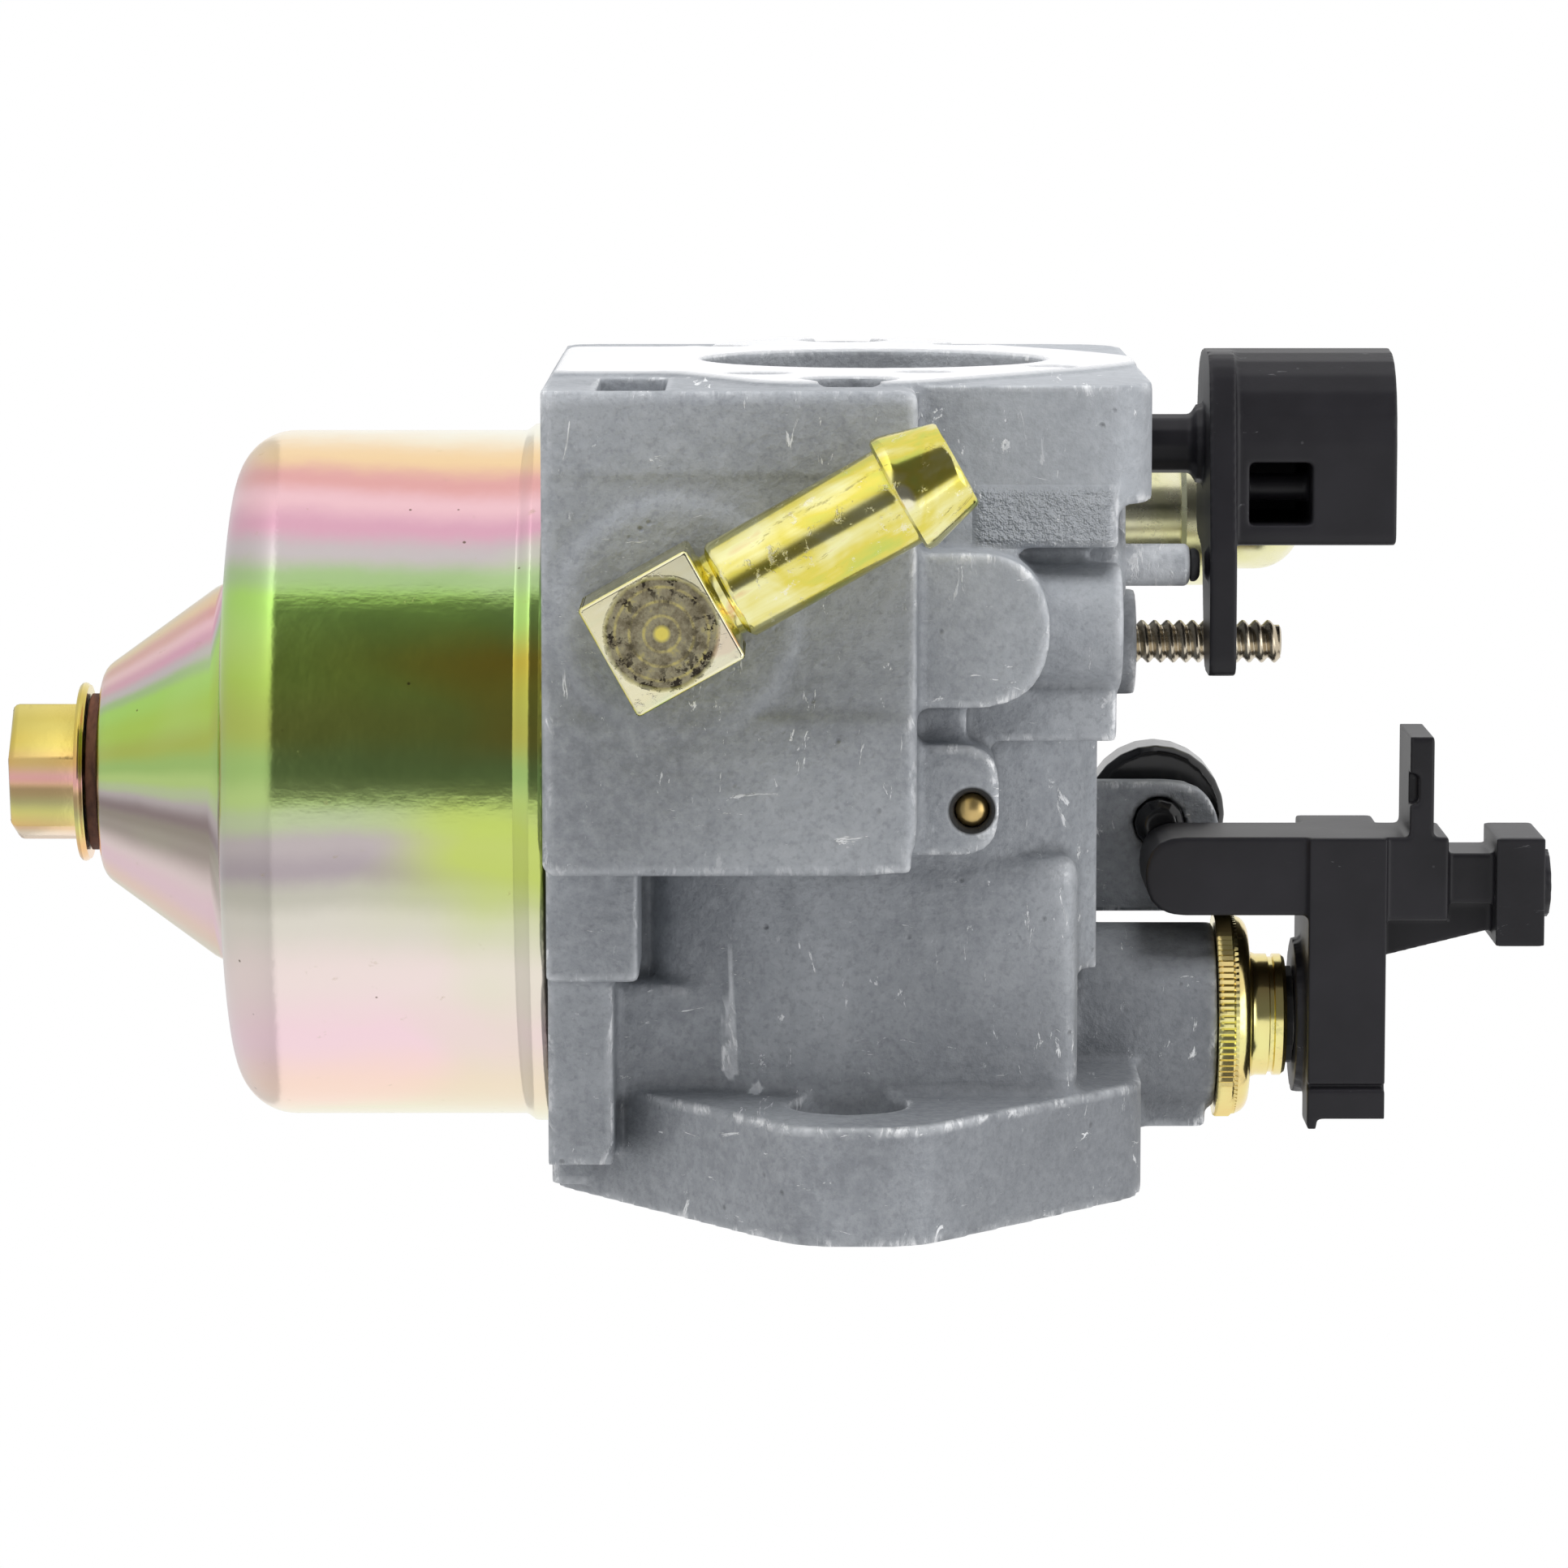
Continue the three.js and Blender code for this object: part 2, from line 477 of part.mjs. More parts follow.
const chokePlate = () => turnedX(
  bar(chokePlateRadius, chokeX - slotHalf, chokeX + slotHalf), 0, intakeBore.z, facets.large);

const chokeShaftSeal = () => turnedZ(
  ring(chokeShaft.radius + fit.slip, chokeShaft.radius + chokeShaft.sealWidth,
    intakeFlange.top - 2 + fit.face, intakeFlange.top - 0.2), chokeX, 0, facets.small);

const detentPost = () => turnedZ([[0, 14], [detent.radius, 14], [detent.radius, 20.8],
  [detent.radius, detent.top - 0.3], [detent.radius - 0.3, detent.top], [0, detent.top]],
detentX, detent.y, facets.small);

const detentTip = () => turnedZ([[0, detent.top + fit.face], [detent.radius - 0.35, detent.top + fit.face],
  [detent.radius - 0.35, detent.top + detent.tip - 0.3], [detent.radius - 0.7, detent.top + detent.tip],
  [0, detent.top + detent.tip]], detentX, detent.y, facets.small);

// ---- throttle ----
const plateThickness = 1.2;
const plateScrew = { radius: 1.2, head: 2.3, headHeight: 1.3, slotDepth: 0.5 };
const shaftEnd = throttleLever.z + throttleLever.thickness - 1.5;

function throttleShaftPiece() {
  const t = throttleX;
  const s = throttleShaft;
  const flatHalf = throttleBore.radius - 0.1;
  const shaft = turnedZ([[0, -throttleBore.radius - s.below], [s.radius, -throttleBore.radius - s.below],
    [s.radius, shaftEnd], [0, shaftEnd]], t, 0, facets.small);
  return cutBy(shaft,
    block([t, -5, -flatHalf], [t + 5, 5, flatHalf]),
    turnedX(bar(plateScrew.radius + fit.seat, t - 5, t + 5), 0, 0, facets.small));
}

function throttlePlate() {
  const t = throttleX + fit.face;
  return turnedX(ring(plateScrew.radius + fit.slip, throttleBore.radius - 0.25, t, t + plateThickness),
    0, 0, facets.large);
}

function throttlePlateScrew() {
  const t = throttleX + plateThickness + 2 * fit.face;
  const { radius, head, headHeight, slotDepth } = plateScrew;
  return cutBy(
    turnedX([[0, t - 3.6], [radius, t - 3.6], [radius, t], [head, t], [head, t + headHeight - 0.5],
      [head - 0.6, t + headHeight], [0, t + headHeight]], 0, 0, facets.small),
    block([t + headHeight - slotDepth, -head - 1, -0.3], [t + headHeight + 1, head + 1, 0.3]));
}

function throttleShaftCap() {
  const t = throttleX;
  const s = throttleShaft;
  const base = s.bossTop + fit.face;
  const domeTop = base + cap.height;
  const hole = s.radius + fit.slip;
  const cover = turnedZ([[hole, base], [capRadius, base], [capRadius, base + 1.7],
    [capRadius - 1.2, domeTop], [cap.neck + 0.5, domeTop + 0.3], [cap.neck, domeTop + 0.9],
    [cap.neck, cap.top - 0.5], [cap.neck - 0.5, cap.top], [hole, cap.top], [hole, base]], t, 0, cap.knurls);
  return cover;
}

function throttleShaftSeal() {
  const from = cap.top + fit.face;
  return turnedZ(ring(throttleShaft.radius + fit.slip, throttleShaft.radius + 1, from, from + 0.5),
    throttleX, 0, facets.small);
}

function throttleLeverPiece() {
  const l = throttleLever;
  const t = throttleX;
  const outer = t - l.reach;
  const inner = outer + l.armWidth;
  const top = l.z + l.thickness;
  const postTop = top + 12.4;
  const arm = outline([[outer, l.armBottom, 3.1], [inner, l.armBottom, 3.1], [inner, l.z + 1],
    [outer, l.z + 1]]);
  const gusset = outline([[inner - 1, top - 0.5], [t - 5.3, top - 0.5], [inner + 1.4, top + 8.8],
    [inner - 1, top + 8.8]]);
  const tabZ = top + 1.8;
  const hub = turnedZ(bar(6.2, l.z - 0.7, top), t, 0);
  return cutBy(
    joined(
      block([outer, -l.front, l.z], [t + 4.8, l.back + 4.5, top]),
      block([t + 4, -l.front, l.z + 0.7], [t + 7.1, -l.front + 4, top]),
      block([t + 4, -l.front, l.z], [t + 7.9, -l.front + 5, l.z + 0.8]),
      hub,
      alongY(arm, -l.front, l.back),
      block([outer, -l.front, top - 0.5], [inner + 0.4, l.back, top + 4.9]),
      block([outer + 1.4, -l.front + 1.5, top + 4], [inner - 0.8, l.back - 1.5, top + 9]),
      block([outer, -l.front, top + 8.6], [inner + 2.4, l.back, postTop]),
      turnedZ(bar(2.7, postTop - 0.5, postTop + 0.8), outer + 4.2, -l.front + 5, facets.small),
      alongY(gusset, -l.front + 3, -l.front + 6),
      block([outer - 7.9, -l.front, tabZ], [outer + 1, l.back, tabZ + 1.9]),
    ),
    turnedZ(bar(throttleShaft.radius + fit.slip, l.z - 3, shaftEnd + fit.seat), t, 0, facets.small),
    block([outer - 5, -l.front - 1, tabZ - 0.5], [outer - 2.6, -l.front + 2, tabZ + 0.7]),
    block([outer + 2, 0, top - 3.5], [t - 3, l.back + 2.5, top + 0.1 - 0.2 + 1]),
  );
}

// The throttle stop screw and its knob on the far side of the lug.
function throttleStopScrew() {
  const s = stopScrew;
  const lugBack = s.lugY + s.lugDepth;
  const tip = throttleLever.back + fit.turned;
  const knobFront = lugBack + 2.2;
  return joined(
    turnedY([[0, tip], [1.3, tip], [s.shank, tip + 0.7], [s.shank, knobFront + 1], [0, knobFront + 1]],
      stopX, s.z, facets.small),
    turnedY([[0, knobFront], [s.knob - 0.5, knobFront], [s.knob, knobFront + 0.6],
      [s.knob, knobFront + 5.4], [s.knob - 0.8, knobFront + 6.2], [0, knobFront + 6.2]], stopX, s.z),
  );
}

// ---- fittings ----
// A coarse stud; its thread is a row of rounded rings here.
function coverStudPiece() {
  const s = coverStud;
  const points = [[0, 12.5], [s.root, 12.5]];
  const count = Math.floor((s.top - s.bossTop) / s.pitch);
  const start = s.top - count * s.pitch;
  points.push([s.root, start]);
  for (let i = 0; i < count; i += 1) {
    const z = start + i * s.pitch;
    points.push([s.radius, z + s.pitch * 0.3], [s.radius, z + s.pitch * 0.6], [s.root, z + s.pitch]);
  }
  points.push([0, s.top]);
  return turnedZ(points, s.x, 0, facets.small);
}

// The elbow is made upright at its own centre, with the tube along +Z and the spigot along +Y.
function fuelInletElbow() {
  const n = inlet;
  const half = n.block / 2;
  const edge = 0.8;
  const faceShape = outline([[-half, -half, edge], [half, -half, edge], [half, half, edge], [-half, half, edge]], 2);
  const spigotEnd = half + n.standOff + inletLengths.spigotDepth - 0.5;
  const neckEnd = half + inletLengths.neck;
  const barbStart = neckEnd + inletLengths.tube;
  const end = barbStart + inletLengths.barb;
  return cutBy(
    joined(
      alongY(faceShape, -half, half),
      turnedY(bar(n.spigot, 0, spigotEnd), 0, 0),
      turnedZ([[0, 0], [n.tube - 0.5, 0], [n.tube - 0.5, neckEnd - 0.3], [n.tube, neckEnd], [n.tube, barbStart],
        [n.barb, barbStart + 0.2], [n.barb, barbStart + 0.9], [n.barb - 1.15, end], [0, end]], 0, 0),
    ),
    turnedZ(bar(n.bore, 0, end + 1), 0, 0, facets.small),
    turnedY(bar(n.bore - 0.5, 0, spigotEnd + 1), 0, 0, facets.small),
  );
}

function ventFittingPiece() {
  const v = ventFitting;
  const base = intakeFlange.top;
  return cutBy(
    turnedZ([[0, base - 6], [v.stem - 1.2, base - 6], [v.stem - 1.2, base + fit.face],
      [v.stem, base + fit.face],
      [v.stem, v.ringZ - 0.6], [v.ring - 0.4, v.ringZ - 0.6], [v.ring, v.ringZ], [v.ring, v.ringZ + 1.5],
      [v.barrel, v.ringZ + 1.9], [v.barrel, v.top - 2.4], [v.barrel - 0.9, v.top - 0.8],
      [v.barrel - 2.4, v.top], [0, v.top]], v.x, v.y),
    turnedZ(bar(1.6, base - 7, v.top + 1), v.x, v.y, facets.small));
}

const passagePlug = () => turnedY([[0, plug.front], [plug.radius - 0.5, plug.front + 0.2],
  [plug.radius, plug.front + 0.7], [plug.radius, plugEnd - fit.face], [0, plugEnd - fit.face]],
plug.x, plug.z, facets.small);

function welchPlug() {
  const seat = core.top - welch.depth + fit.face;
  return turnedZ([[0, seat], [welch.radius, seat], [welch.radius, seat + 0.8], [welch.radius - 1.5, seat + 0.6],
    [0, seat + 0.4]], welch.x, welch.y, facets.small);
}

// ---- assembly ----
const looks = {
  casting: { color: 0x8f959a, roughness: 0.6, metalness: 0.8 },
  chromate: { color: 0xb7c07a, roughness: 0.25, metalness: 1 },
  zinc: { color: 0xd8cf6a, roughness: 0.25, metalness: 1 },
  gold: { color: 0xd9b46a, roughness: 0.2, metalness: 1 },
  steel: { color: 0xa9a59c, roughness: 0.35, metalness: 1 },
  brass: { color: 0xb08d4a, roughness: 0.35, metalness: 1 },
  blackPlastic: { color: 0x222226, roughness: 0.5, metalness: 0 },
  rubber: { color: 0x18181a, roughness: 0.8, metalness: 0 },
  fibre: { color: 0x4a2a1c, roughness: 0.9, metalness: 0 },
  foam: { color: 0x3a3a40, roughness: 0.7, metalness: 0 },
};

const carburetor = new THREE.Group();
carburetor.name = 'carburetor';

function add(name, look, manifold, parent = carburetor) {
  const mesh = new THREE.Mesh(geometryOf(manifold), new THREE.MeshStandardMaterial(looks[look]));
  mesh.name = name;
  parent.add(mesh);
}

const inletGroup = new THREE.Group();
inletGroup.position.set(seatX, -slab.front - inlet.standOff - inlet.block / 2, inlet.z);
inletGroup.rotation.y = THREE.MathUtils.degToRad(-inlet.tilt);
carburetor.add(inletGroup);

add('carburetor_body', 'casting', carburetorBody().add(pinEars()));
add('float_bowl', 'chromate', floatBowl());
add('bowl_gasket', 'rubber', bowlGasket());
add('bowl_bolt', 'chromate', bowlBolt());
add('bowl_bolt_washer', 'fibre', bowlBoltWasher());
add('float', 'foam', floatPiece());
add('float_pin', 'steel', floatPin());
add('needle_seat', 'brass', needleSeat());
add('float_needle', 'brass', floatNeedle());
add('main_jet', 'brass', mainJet());
add('emulsion_tube', 'brass', emulsionTube());
add('pilot_jet', 'brass', pilotJet());
add('choke_lever', 'blackPlastic', chokeLeverPiece());
add('choke_plate', 'steel', chokePlate());
add('choke_shaft_seal', 'rubber', chokeShaftSeal());
add('choke_detent_post', 'steel', detentPost());
add('choke_detent_tip', 'rubber', detentTip());
add('throttle_shaft', 'steel', throttleShaftPiece());
add('throttle_plate', 'brass', throttlePlate());
add('throttle_plate_screw', 'steel', throttlePlateScrew());
add('throttle_shaft_cap', 'gold', throttleShaftCap());
add('throttle_shaft_seal', 'rubber', throttleShaftSeal());
add('throttle_lever', 'blackPlastic', throttleLeverPiece());
add('throttle_stop_screw', 'blackPlastic', throttleStopScrew());
add('cover_stud', 'steel', coverStudPiece());
add('vent_fitting', 'zinc', ventFittingPiece());
add('passage_plug', 'brass', passagePlug());
add('welch_plug', 'brass', welchPlug());
add('fuel_inlet_elbow', 'zinc', fuelInletElbow(), inletGroup);

export default carburetor;
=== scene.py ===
# Side-draft float carburetor for a small engine: finished pieces, materials, lights and camera.
# Lengths are in metres, with mm for the sizes a person would measure.
import math
import bpy
import bmesh
from mathutils import Matrix, Vector


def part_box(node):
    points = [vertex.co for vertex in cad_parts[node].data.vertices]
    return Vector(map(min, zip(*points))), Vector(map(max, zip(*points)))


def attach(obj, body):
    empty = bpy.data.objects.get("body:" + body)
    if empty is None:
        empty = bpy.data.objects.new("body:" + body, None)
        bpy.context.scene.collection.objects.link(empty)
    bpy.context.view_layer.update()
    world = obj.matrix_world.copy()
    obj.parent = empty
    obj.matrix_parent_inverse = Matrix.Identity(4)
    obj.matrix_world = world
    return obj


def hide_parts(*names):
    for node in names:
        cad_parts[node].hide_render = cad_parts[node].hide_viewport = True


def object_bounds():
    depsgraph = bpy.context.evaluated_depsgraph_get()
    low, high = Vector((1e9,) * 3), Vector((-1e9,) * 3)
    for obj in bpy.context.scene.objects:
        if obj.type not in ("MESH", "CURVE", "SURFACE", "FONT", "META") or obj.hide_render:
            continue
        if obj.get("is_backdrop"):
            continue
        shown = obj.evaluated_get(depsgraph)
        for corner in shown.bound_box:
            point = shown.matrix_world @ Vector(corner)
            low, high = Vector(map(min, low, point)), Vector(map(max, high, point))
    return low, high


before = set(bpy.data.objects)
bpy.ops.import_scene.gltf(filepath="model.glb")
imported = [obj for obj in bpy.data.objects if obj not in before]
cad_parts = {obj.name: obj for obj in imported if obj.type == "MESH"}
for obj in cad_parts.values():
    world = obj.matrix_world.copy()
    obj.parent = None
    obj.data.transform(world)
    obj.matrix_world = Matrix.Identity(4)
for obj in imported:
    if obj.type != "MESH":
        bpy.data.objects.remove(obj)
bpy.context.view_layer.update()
mm = 0.001


def boxOf(node):
    low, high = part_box(node)
    return Vector(low), Vector(high)


def middleOf(node):
    low, high = boxOf(node)
    return (low + high) / 2


def deselectAll():
    if bpy.context.object and bpy.context.object.mode != "OBJECT":
        bpy.ops.object.mode_set(mode="OBJECT")
    bpy.ops.object.select_all(action="DESELECT")


def makeActive(piece):
    deselectAll()
    piece.select_set(True)
    bpy.context.view_layer.objects.active = piece


def editMode(piece, kind="VERT"):
    makeActive(piece)
    bpy.ops.object.mode_set(mode="EDIT")
    bpy.ops.mesh.select_mode(type=kind)
    bpy.ops.mesh.select_all(action="DESELECT")


def objectMode():
    bpy.ops.object.mode_set(mode="OBJECT")


def pick(piece, kind, wanted):
    # selects the vertices, edges or faces that wanted() accepts, in edit mode
    shape = bmesh.from_edit_mesh(piece.data)
    for item in {"VERT": shape.verts, "EDGE": shape.edges, "FACE": shape.faces}[kind]:
        if wanted(item):
            item.select_set(True)
    shape.select_flush_mode()
    bmesh.update_edit_mesh(piece.data)


def placeInMesh(piece):
    makeActive(piece)
    bpy.ops.object.transform_apply(location=True, rotation=True, scale=True)
    return piece


def newestPiece(name):
    piece = bpy.context.object
    piece.name = name
    piece.data.name = name
    return placeInMesh(piece)


def joinPieces(first, others):
    makeActive(first)
    for other in others:
        other.select_set(True)
    if others:
        bpy.ops.object.join()
    return first


def applyModifier(piece, kind, **settings):
    makeActive(piece)
    modifier = piece.modifiers.new(kind.lower(), kind)
    for name, value in settings.items():
        setattr(modifier, name, value)
    bpy.ops.object.modifier_apply(modifier=modifier.name)
    return piece


def cutAway(piece, cutter):
    applyModifier(piece, "BOOLEAN", operation="DIFFERENCE", object=cutter, solver="EXACT")
    makeActive(cutter)
    bpy.ops.object.delete()
    return piece


def smoothByAngle(piece, degrees):
    makeActive(piece)
    bpy.ops.object.shade_smooth_by_angle(angle=math.radians(degrees))
    return piece


def tidyMesh(piece):
    editMode(piece)
    bpy.ops.mesh.select_all(action="SELECT")
    bpy.ops.mesh.remove_doubles(threshold=0.002 * mm)
    bpy.ops.mesh.normals_make_consistent(inside=False)
    objectMode()
    return piece


def mergedCopy(node, name):
    # a separate, welded copy of a frame node, with its flat faces made whole again
    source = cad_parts[node]
    piece = source.copy()
    piece.data = source.data.copy()
    piece.name = name
    bpy.context.collection.objects.link(piece)
    piece.parent = None
    piece.matrix_world = Matrix.Identity(4)
    piece.data.materials.clear()
    editMode(piece)
    bpy.ops.mesh.select_all(action="SELECT")
    bpy.ops.mesh.remove_doubles(threshold=0.002 * mm)
    bpy.ops.mesh.dissolve_limited(angle_limit=math.radians(0.5))
    objectMode()
    return piece


def flatFaces(piece, degrees=35):
    # smooth shading in which the large faces keep their own direction
    smoothByAngle(piece, degrees)
    return applyModifier(piece, "WEIGHTED_NORMAL", weight=80, keep_sharp=True)


def softEdges(piece, width):
    applyModifier(piece, "BEVEL", width=width, limit_method="ANGLE", angle_limit=math.radians(40),
                  segments=3, use_clamp_overlap=True)
    return flatFaces(piece)


def blockPiece(name, low, high, round=0.0):
    # a block between two corners in mm, with its edges rounded if asked
    low, high = Vector(low) * mm, Vector(high) * mm
    deselectAll()
    bpy.ops.mesh.primitive_cube_add(size=1, location=(low + high) / 2, scale=high - low)
    piece = newestPiece(name)
    if round:
        editMode(piece, "EDGE")
        bpy.ops.mesh.select_all(action="SELECT")
        bpy.ops.mesh.bevel(offset=round * mm, segments=3, affect="EDGES")
        objectMode()
    return piece


axisTurn = {
    "x": Matrix(((0, 0, 1), (1, 0, 0), (0, 1, 0))).to_4x4(),
    "y": Matrix(((1, 0, 0), (0, 0, 1), (0, -1, 0))).to_4x4(),
    "z": Matrix.Identity(4),
}


def supported(profile, edge=0.2):
    # puts a ring close to both ends of each long straight run, so that it shades straight
    rings = []
    for (r0, h0), (r1, h1) in zip(profile, profile[1:]):
        rings.append((r0, h0))
        length = math.hypot(r1 - r0, h1 - h0)
        if length > 4 * edge:
            for share in (edge / length, 1 - edge / length):
                rings.append((r0 + (r1 - r0) * share, h0 + (h1 - h0) * share))
    return rings + [profile[-1]]


def evenSkin(piece, voxel, keep, rounds):
    # one closed skin of even small faces, smoothed a little and then thinned out
    applyModifier(piece, "REMESH", mode="VOXEL", voxel_size=voxel * mm, use_smooth_shade=True)
    applyModifier(piece, "SMOOTH", factor=0.5, iterations=rounds)
    applyModifier(piece, "DECIMATE", ratio=keep)
    makeActive(piece)
    bpy.ops.object.shade_smooth()


def drawnLine(name, outline):
    # draws an open line through points of (radius, height) in mm one vertex at a time, left in edit mode
    deselectAll()
    bpy.ops.mesh.primitive_plane_add(size=0.01 * mm)
    piece = newestPiece(name)
    editMode(piece)
    bpy.ops.mesh.select_all(action="SELECT")
    bpy.ops.mesh.merge(type="CENTER")
    bpy.ops.mesh.select_all(action="SELECT")
    points = [Vector((radius * mm, 0, height * mm)) for radius, height in outline]
    bpy.ops.transform.translate(value=points[0])
    for before, after in zip(points, points[1:]):
        bpy.ops.mesh.extrude_region_move(TRANSFORM_OT_translate={"value": after - before})
    return piece


def turnedPiece(name, profile, centre, axis="z", steps=96):
    # spins a closed profile of (radius, height) in mm round its axis
    piece = drawnLine(name, supported(profile))
    bpy.ops.mesh.select_all(action="SELECT")
    bpy.ops.mesh.spin(steps=steps, angle=math.tau, center=(0, 0, 0), axis=(0, 0, 1))
    objectMode()
    piece.data.transform(Matrix.Translation(Vector(centre)) @ axisTurn[axis])
    tidyMesh(piece)
    return piece


def arcPoints(centreR, centreH, radius, start, end, count=6):
    # points of a round corner in a profile, in mm and degrees
    turns = [math.radians(start + (end - start) * i / count) for i in range(count + 1)]
    return [(centreR + radius * math.cos(a), centreH + radius * math.sin(a)) for a in turns]


def finishPiece(piece, body, slotName, material, *nodes):
    piece.data.materials.clear()
    piece.data.materials.append(material)
    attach(piece, body)
    if nodes:
        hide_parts(*nodes)
    return piece


class Wire:
    # one output socket, so that shader maths can be written as plain expressions
    def __init__(self, build, socket):
        self.build, self.socket = build, socket

    def math(self, operation, *others):
        values = {i: v for i, v in enumerate((self,) + others)}
        return self.build.node("ShaderNodeMath", {"operation": operation}, values)

    def __add__(self, other):
        return self.math("ADD", other)

    def __mul__(self, other):
        return self.math("MULTIPLY", other)

    def __sub__(self, other):
        return self.math("SUBTRACT", other)

    def __truediv__(self, other):
        return self.math("DIVIDE", other)

    def __rsub__(self, other):
        return self.build.node("ShaderNodeMath", {"operation": "SUBTRACT"}, {0: other, 1: self})

    __radd__ = __add__
    __rmul__ = __mul__

    def between(self, low, high, smooth=False):
        # 0 below low, 1 above high
        shape = "SMOOTHSTEP" if smooth else "LINEAR"
        return self.build.node("ShaderNodeMapRange", {"interpolation_type": shape},
                               {"Value": self, "From Min": low, "From Max": high})

    def within(self, low, high, fade):
        return self.between(low, low + fade) * (1 - self.between(high - fade, high))

    def part(self, name):
        # another output of the same node
        return Wire(self.build, self.socket.node.outputs[name])


class Finish:
    # one material and its nodes
    def __init__(self, name):
        self.material = bpy.data.materials.new(name)
        self.material.use_nodes = True
        self.nodes, self.links = self.material.node_tree.nodes, self.material.node_tree.links
        self.shader = self.nodes["Principled BSDF"]

    def node(self, kind, settings=None, values=None, out=0):
        made = self.nodes.new(kind)
        for name, value in (settings or {}).items():
            if name == "stops":
                ramp = made.color_ramp
                while len(ramp.elements) < len(value):
                    ramp.elements.new(0.5)
                for element, (place, colour) in zip(ramp.elements, value):
                    element.position = place
                    element.color = (*colour, 1)
            elif name == "blend":
                made.color_ramp.interpolation = value
            else:
                setattr(made, name, value)
        for name, value in (values or {}).items():
            self.feed(made.inputs[name], value)
        return Wire(self, made.outputs[out])

    def feed(self, socket, value):
        if isinstance(value, Wire):
            self.links.new(value.socket, socket)
        elif hasattr(socket.default_value, "__len__") and not hasattr(value, "__len__"):
            socket.default_value = [value] * len(socket.default_value)
        elif hasattr(value, "__len__") and len(value) == 3 and len(socket.default_value) == 4:
            socket.default_value = (*value, 1)
        else:
            socket.default_value = value

    def set(self, **values):
        for name, value in values.items():
            self.feed(self.shader.inputs[name.replace("_", " ")], value)

    def place(self, location=(0, 0, 0), rotation=(0, 0, 0)):
        # object coordinates about a point, turned if asked
        here = self.node("ShaderNodeTexCoord").part("Object")
        return self.node("ShaderNodeMapping", {"vector_type": "TEXTURE"},
                         {"Vector": here, "Location": location, "Rotation": rotation})

    def stretched(self, vector, scale):
        return self.node("ShaderNodeVectorMath", {"operation": "MULTIPLY"}, {0: vector, 1: scale})

    def noise(self, vector, scale, detail=3.0, roughness=0.55, distortion=0.0):
        return self.node("ShaderNodeTexNoise", {}, {"Vector": vector, "Scale": scale, "Detail": detail,
                                                    "Roughness": roughness, "Distortion": distortion})

    def voronoi(self, vector, scale):
        return self.node("ShaderNodeTexVoronoi", {}, {"Vector": vector, "Scale": scale})

    def ramp(self, value, stops, blend="LINEAR"):
        return self.node("ShaderNodeValToRGB", {"blend": blend, "stops": stops}, {"Fac": value})

    def mix(self, factor, first, second):
        return self.node("ShaderNodeMix", {"data_type": "RGBA"}, {0: factor, 6: first, 7: second}, out=2)

    def bump(self, height, distance, strength):
        return self.node("ShaderNodeBump", {}, {"Height": height, "Distance": distance, "Strength": strength})


def axisParts(finish, vector):
    split = finish.node("ShaderNodeSeparateXYZ", {}, {"Vector": vector})
    return split.part("X"), split.part("Y"), split.part("Z")


casting = {
    "colour": (0.35, 0.37, 0.40), "pale": (0.45, 0.47, 0.50), "dark": (0.25, 0.265, 0.29),
    "speck": (0.60, 0.62, 0.65), "sand": (0.17, 0.18, 0.20), "paintedBossShade": (0.12, 0.127, 0.14),
    "paintedLitPatch": (0.62, 0.65, 0.69), "edge": (0.78, 0.80, 0.83), "corner": (0.10, 0.106, 0.115),
    "nick": (0.9, 0.91, 0.93), "pit": (0.1, 0.105, 0.11), "gap": (0.012, 0.012, 0.012),
    "latheDark": (0.72, 0.73, 0.75), "latheLight": (0.9, 0.9, 0.92),
    # where the painted shade, the painted light and the skin marks lie, in metres
    "paintedBossShadeX": (-0.026, -0.012), "paintedBossShadeZ": (-0.004, 0.014),
    "paintedLitPatchX": (-0.056, -0.036), "paintedLitPatchZ": (-0.002, 0.012),
    "coarseX": (-0.0562, -0.0514), "coarseZ": (0.0080, 0.0188), "coarseY": (-0.020, -0.018),
    "plugGap": (0.0004, 0.0006), "padDepth": (0.1 * mm, 0.35 * mm),
    "grain": 0.00034, "metal": 0.38}


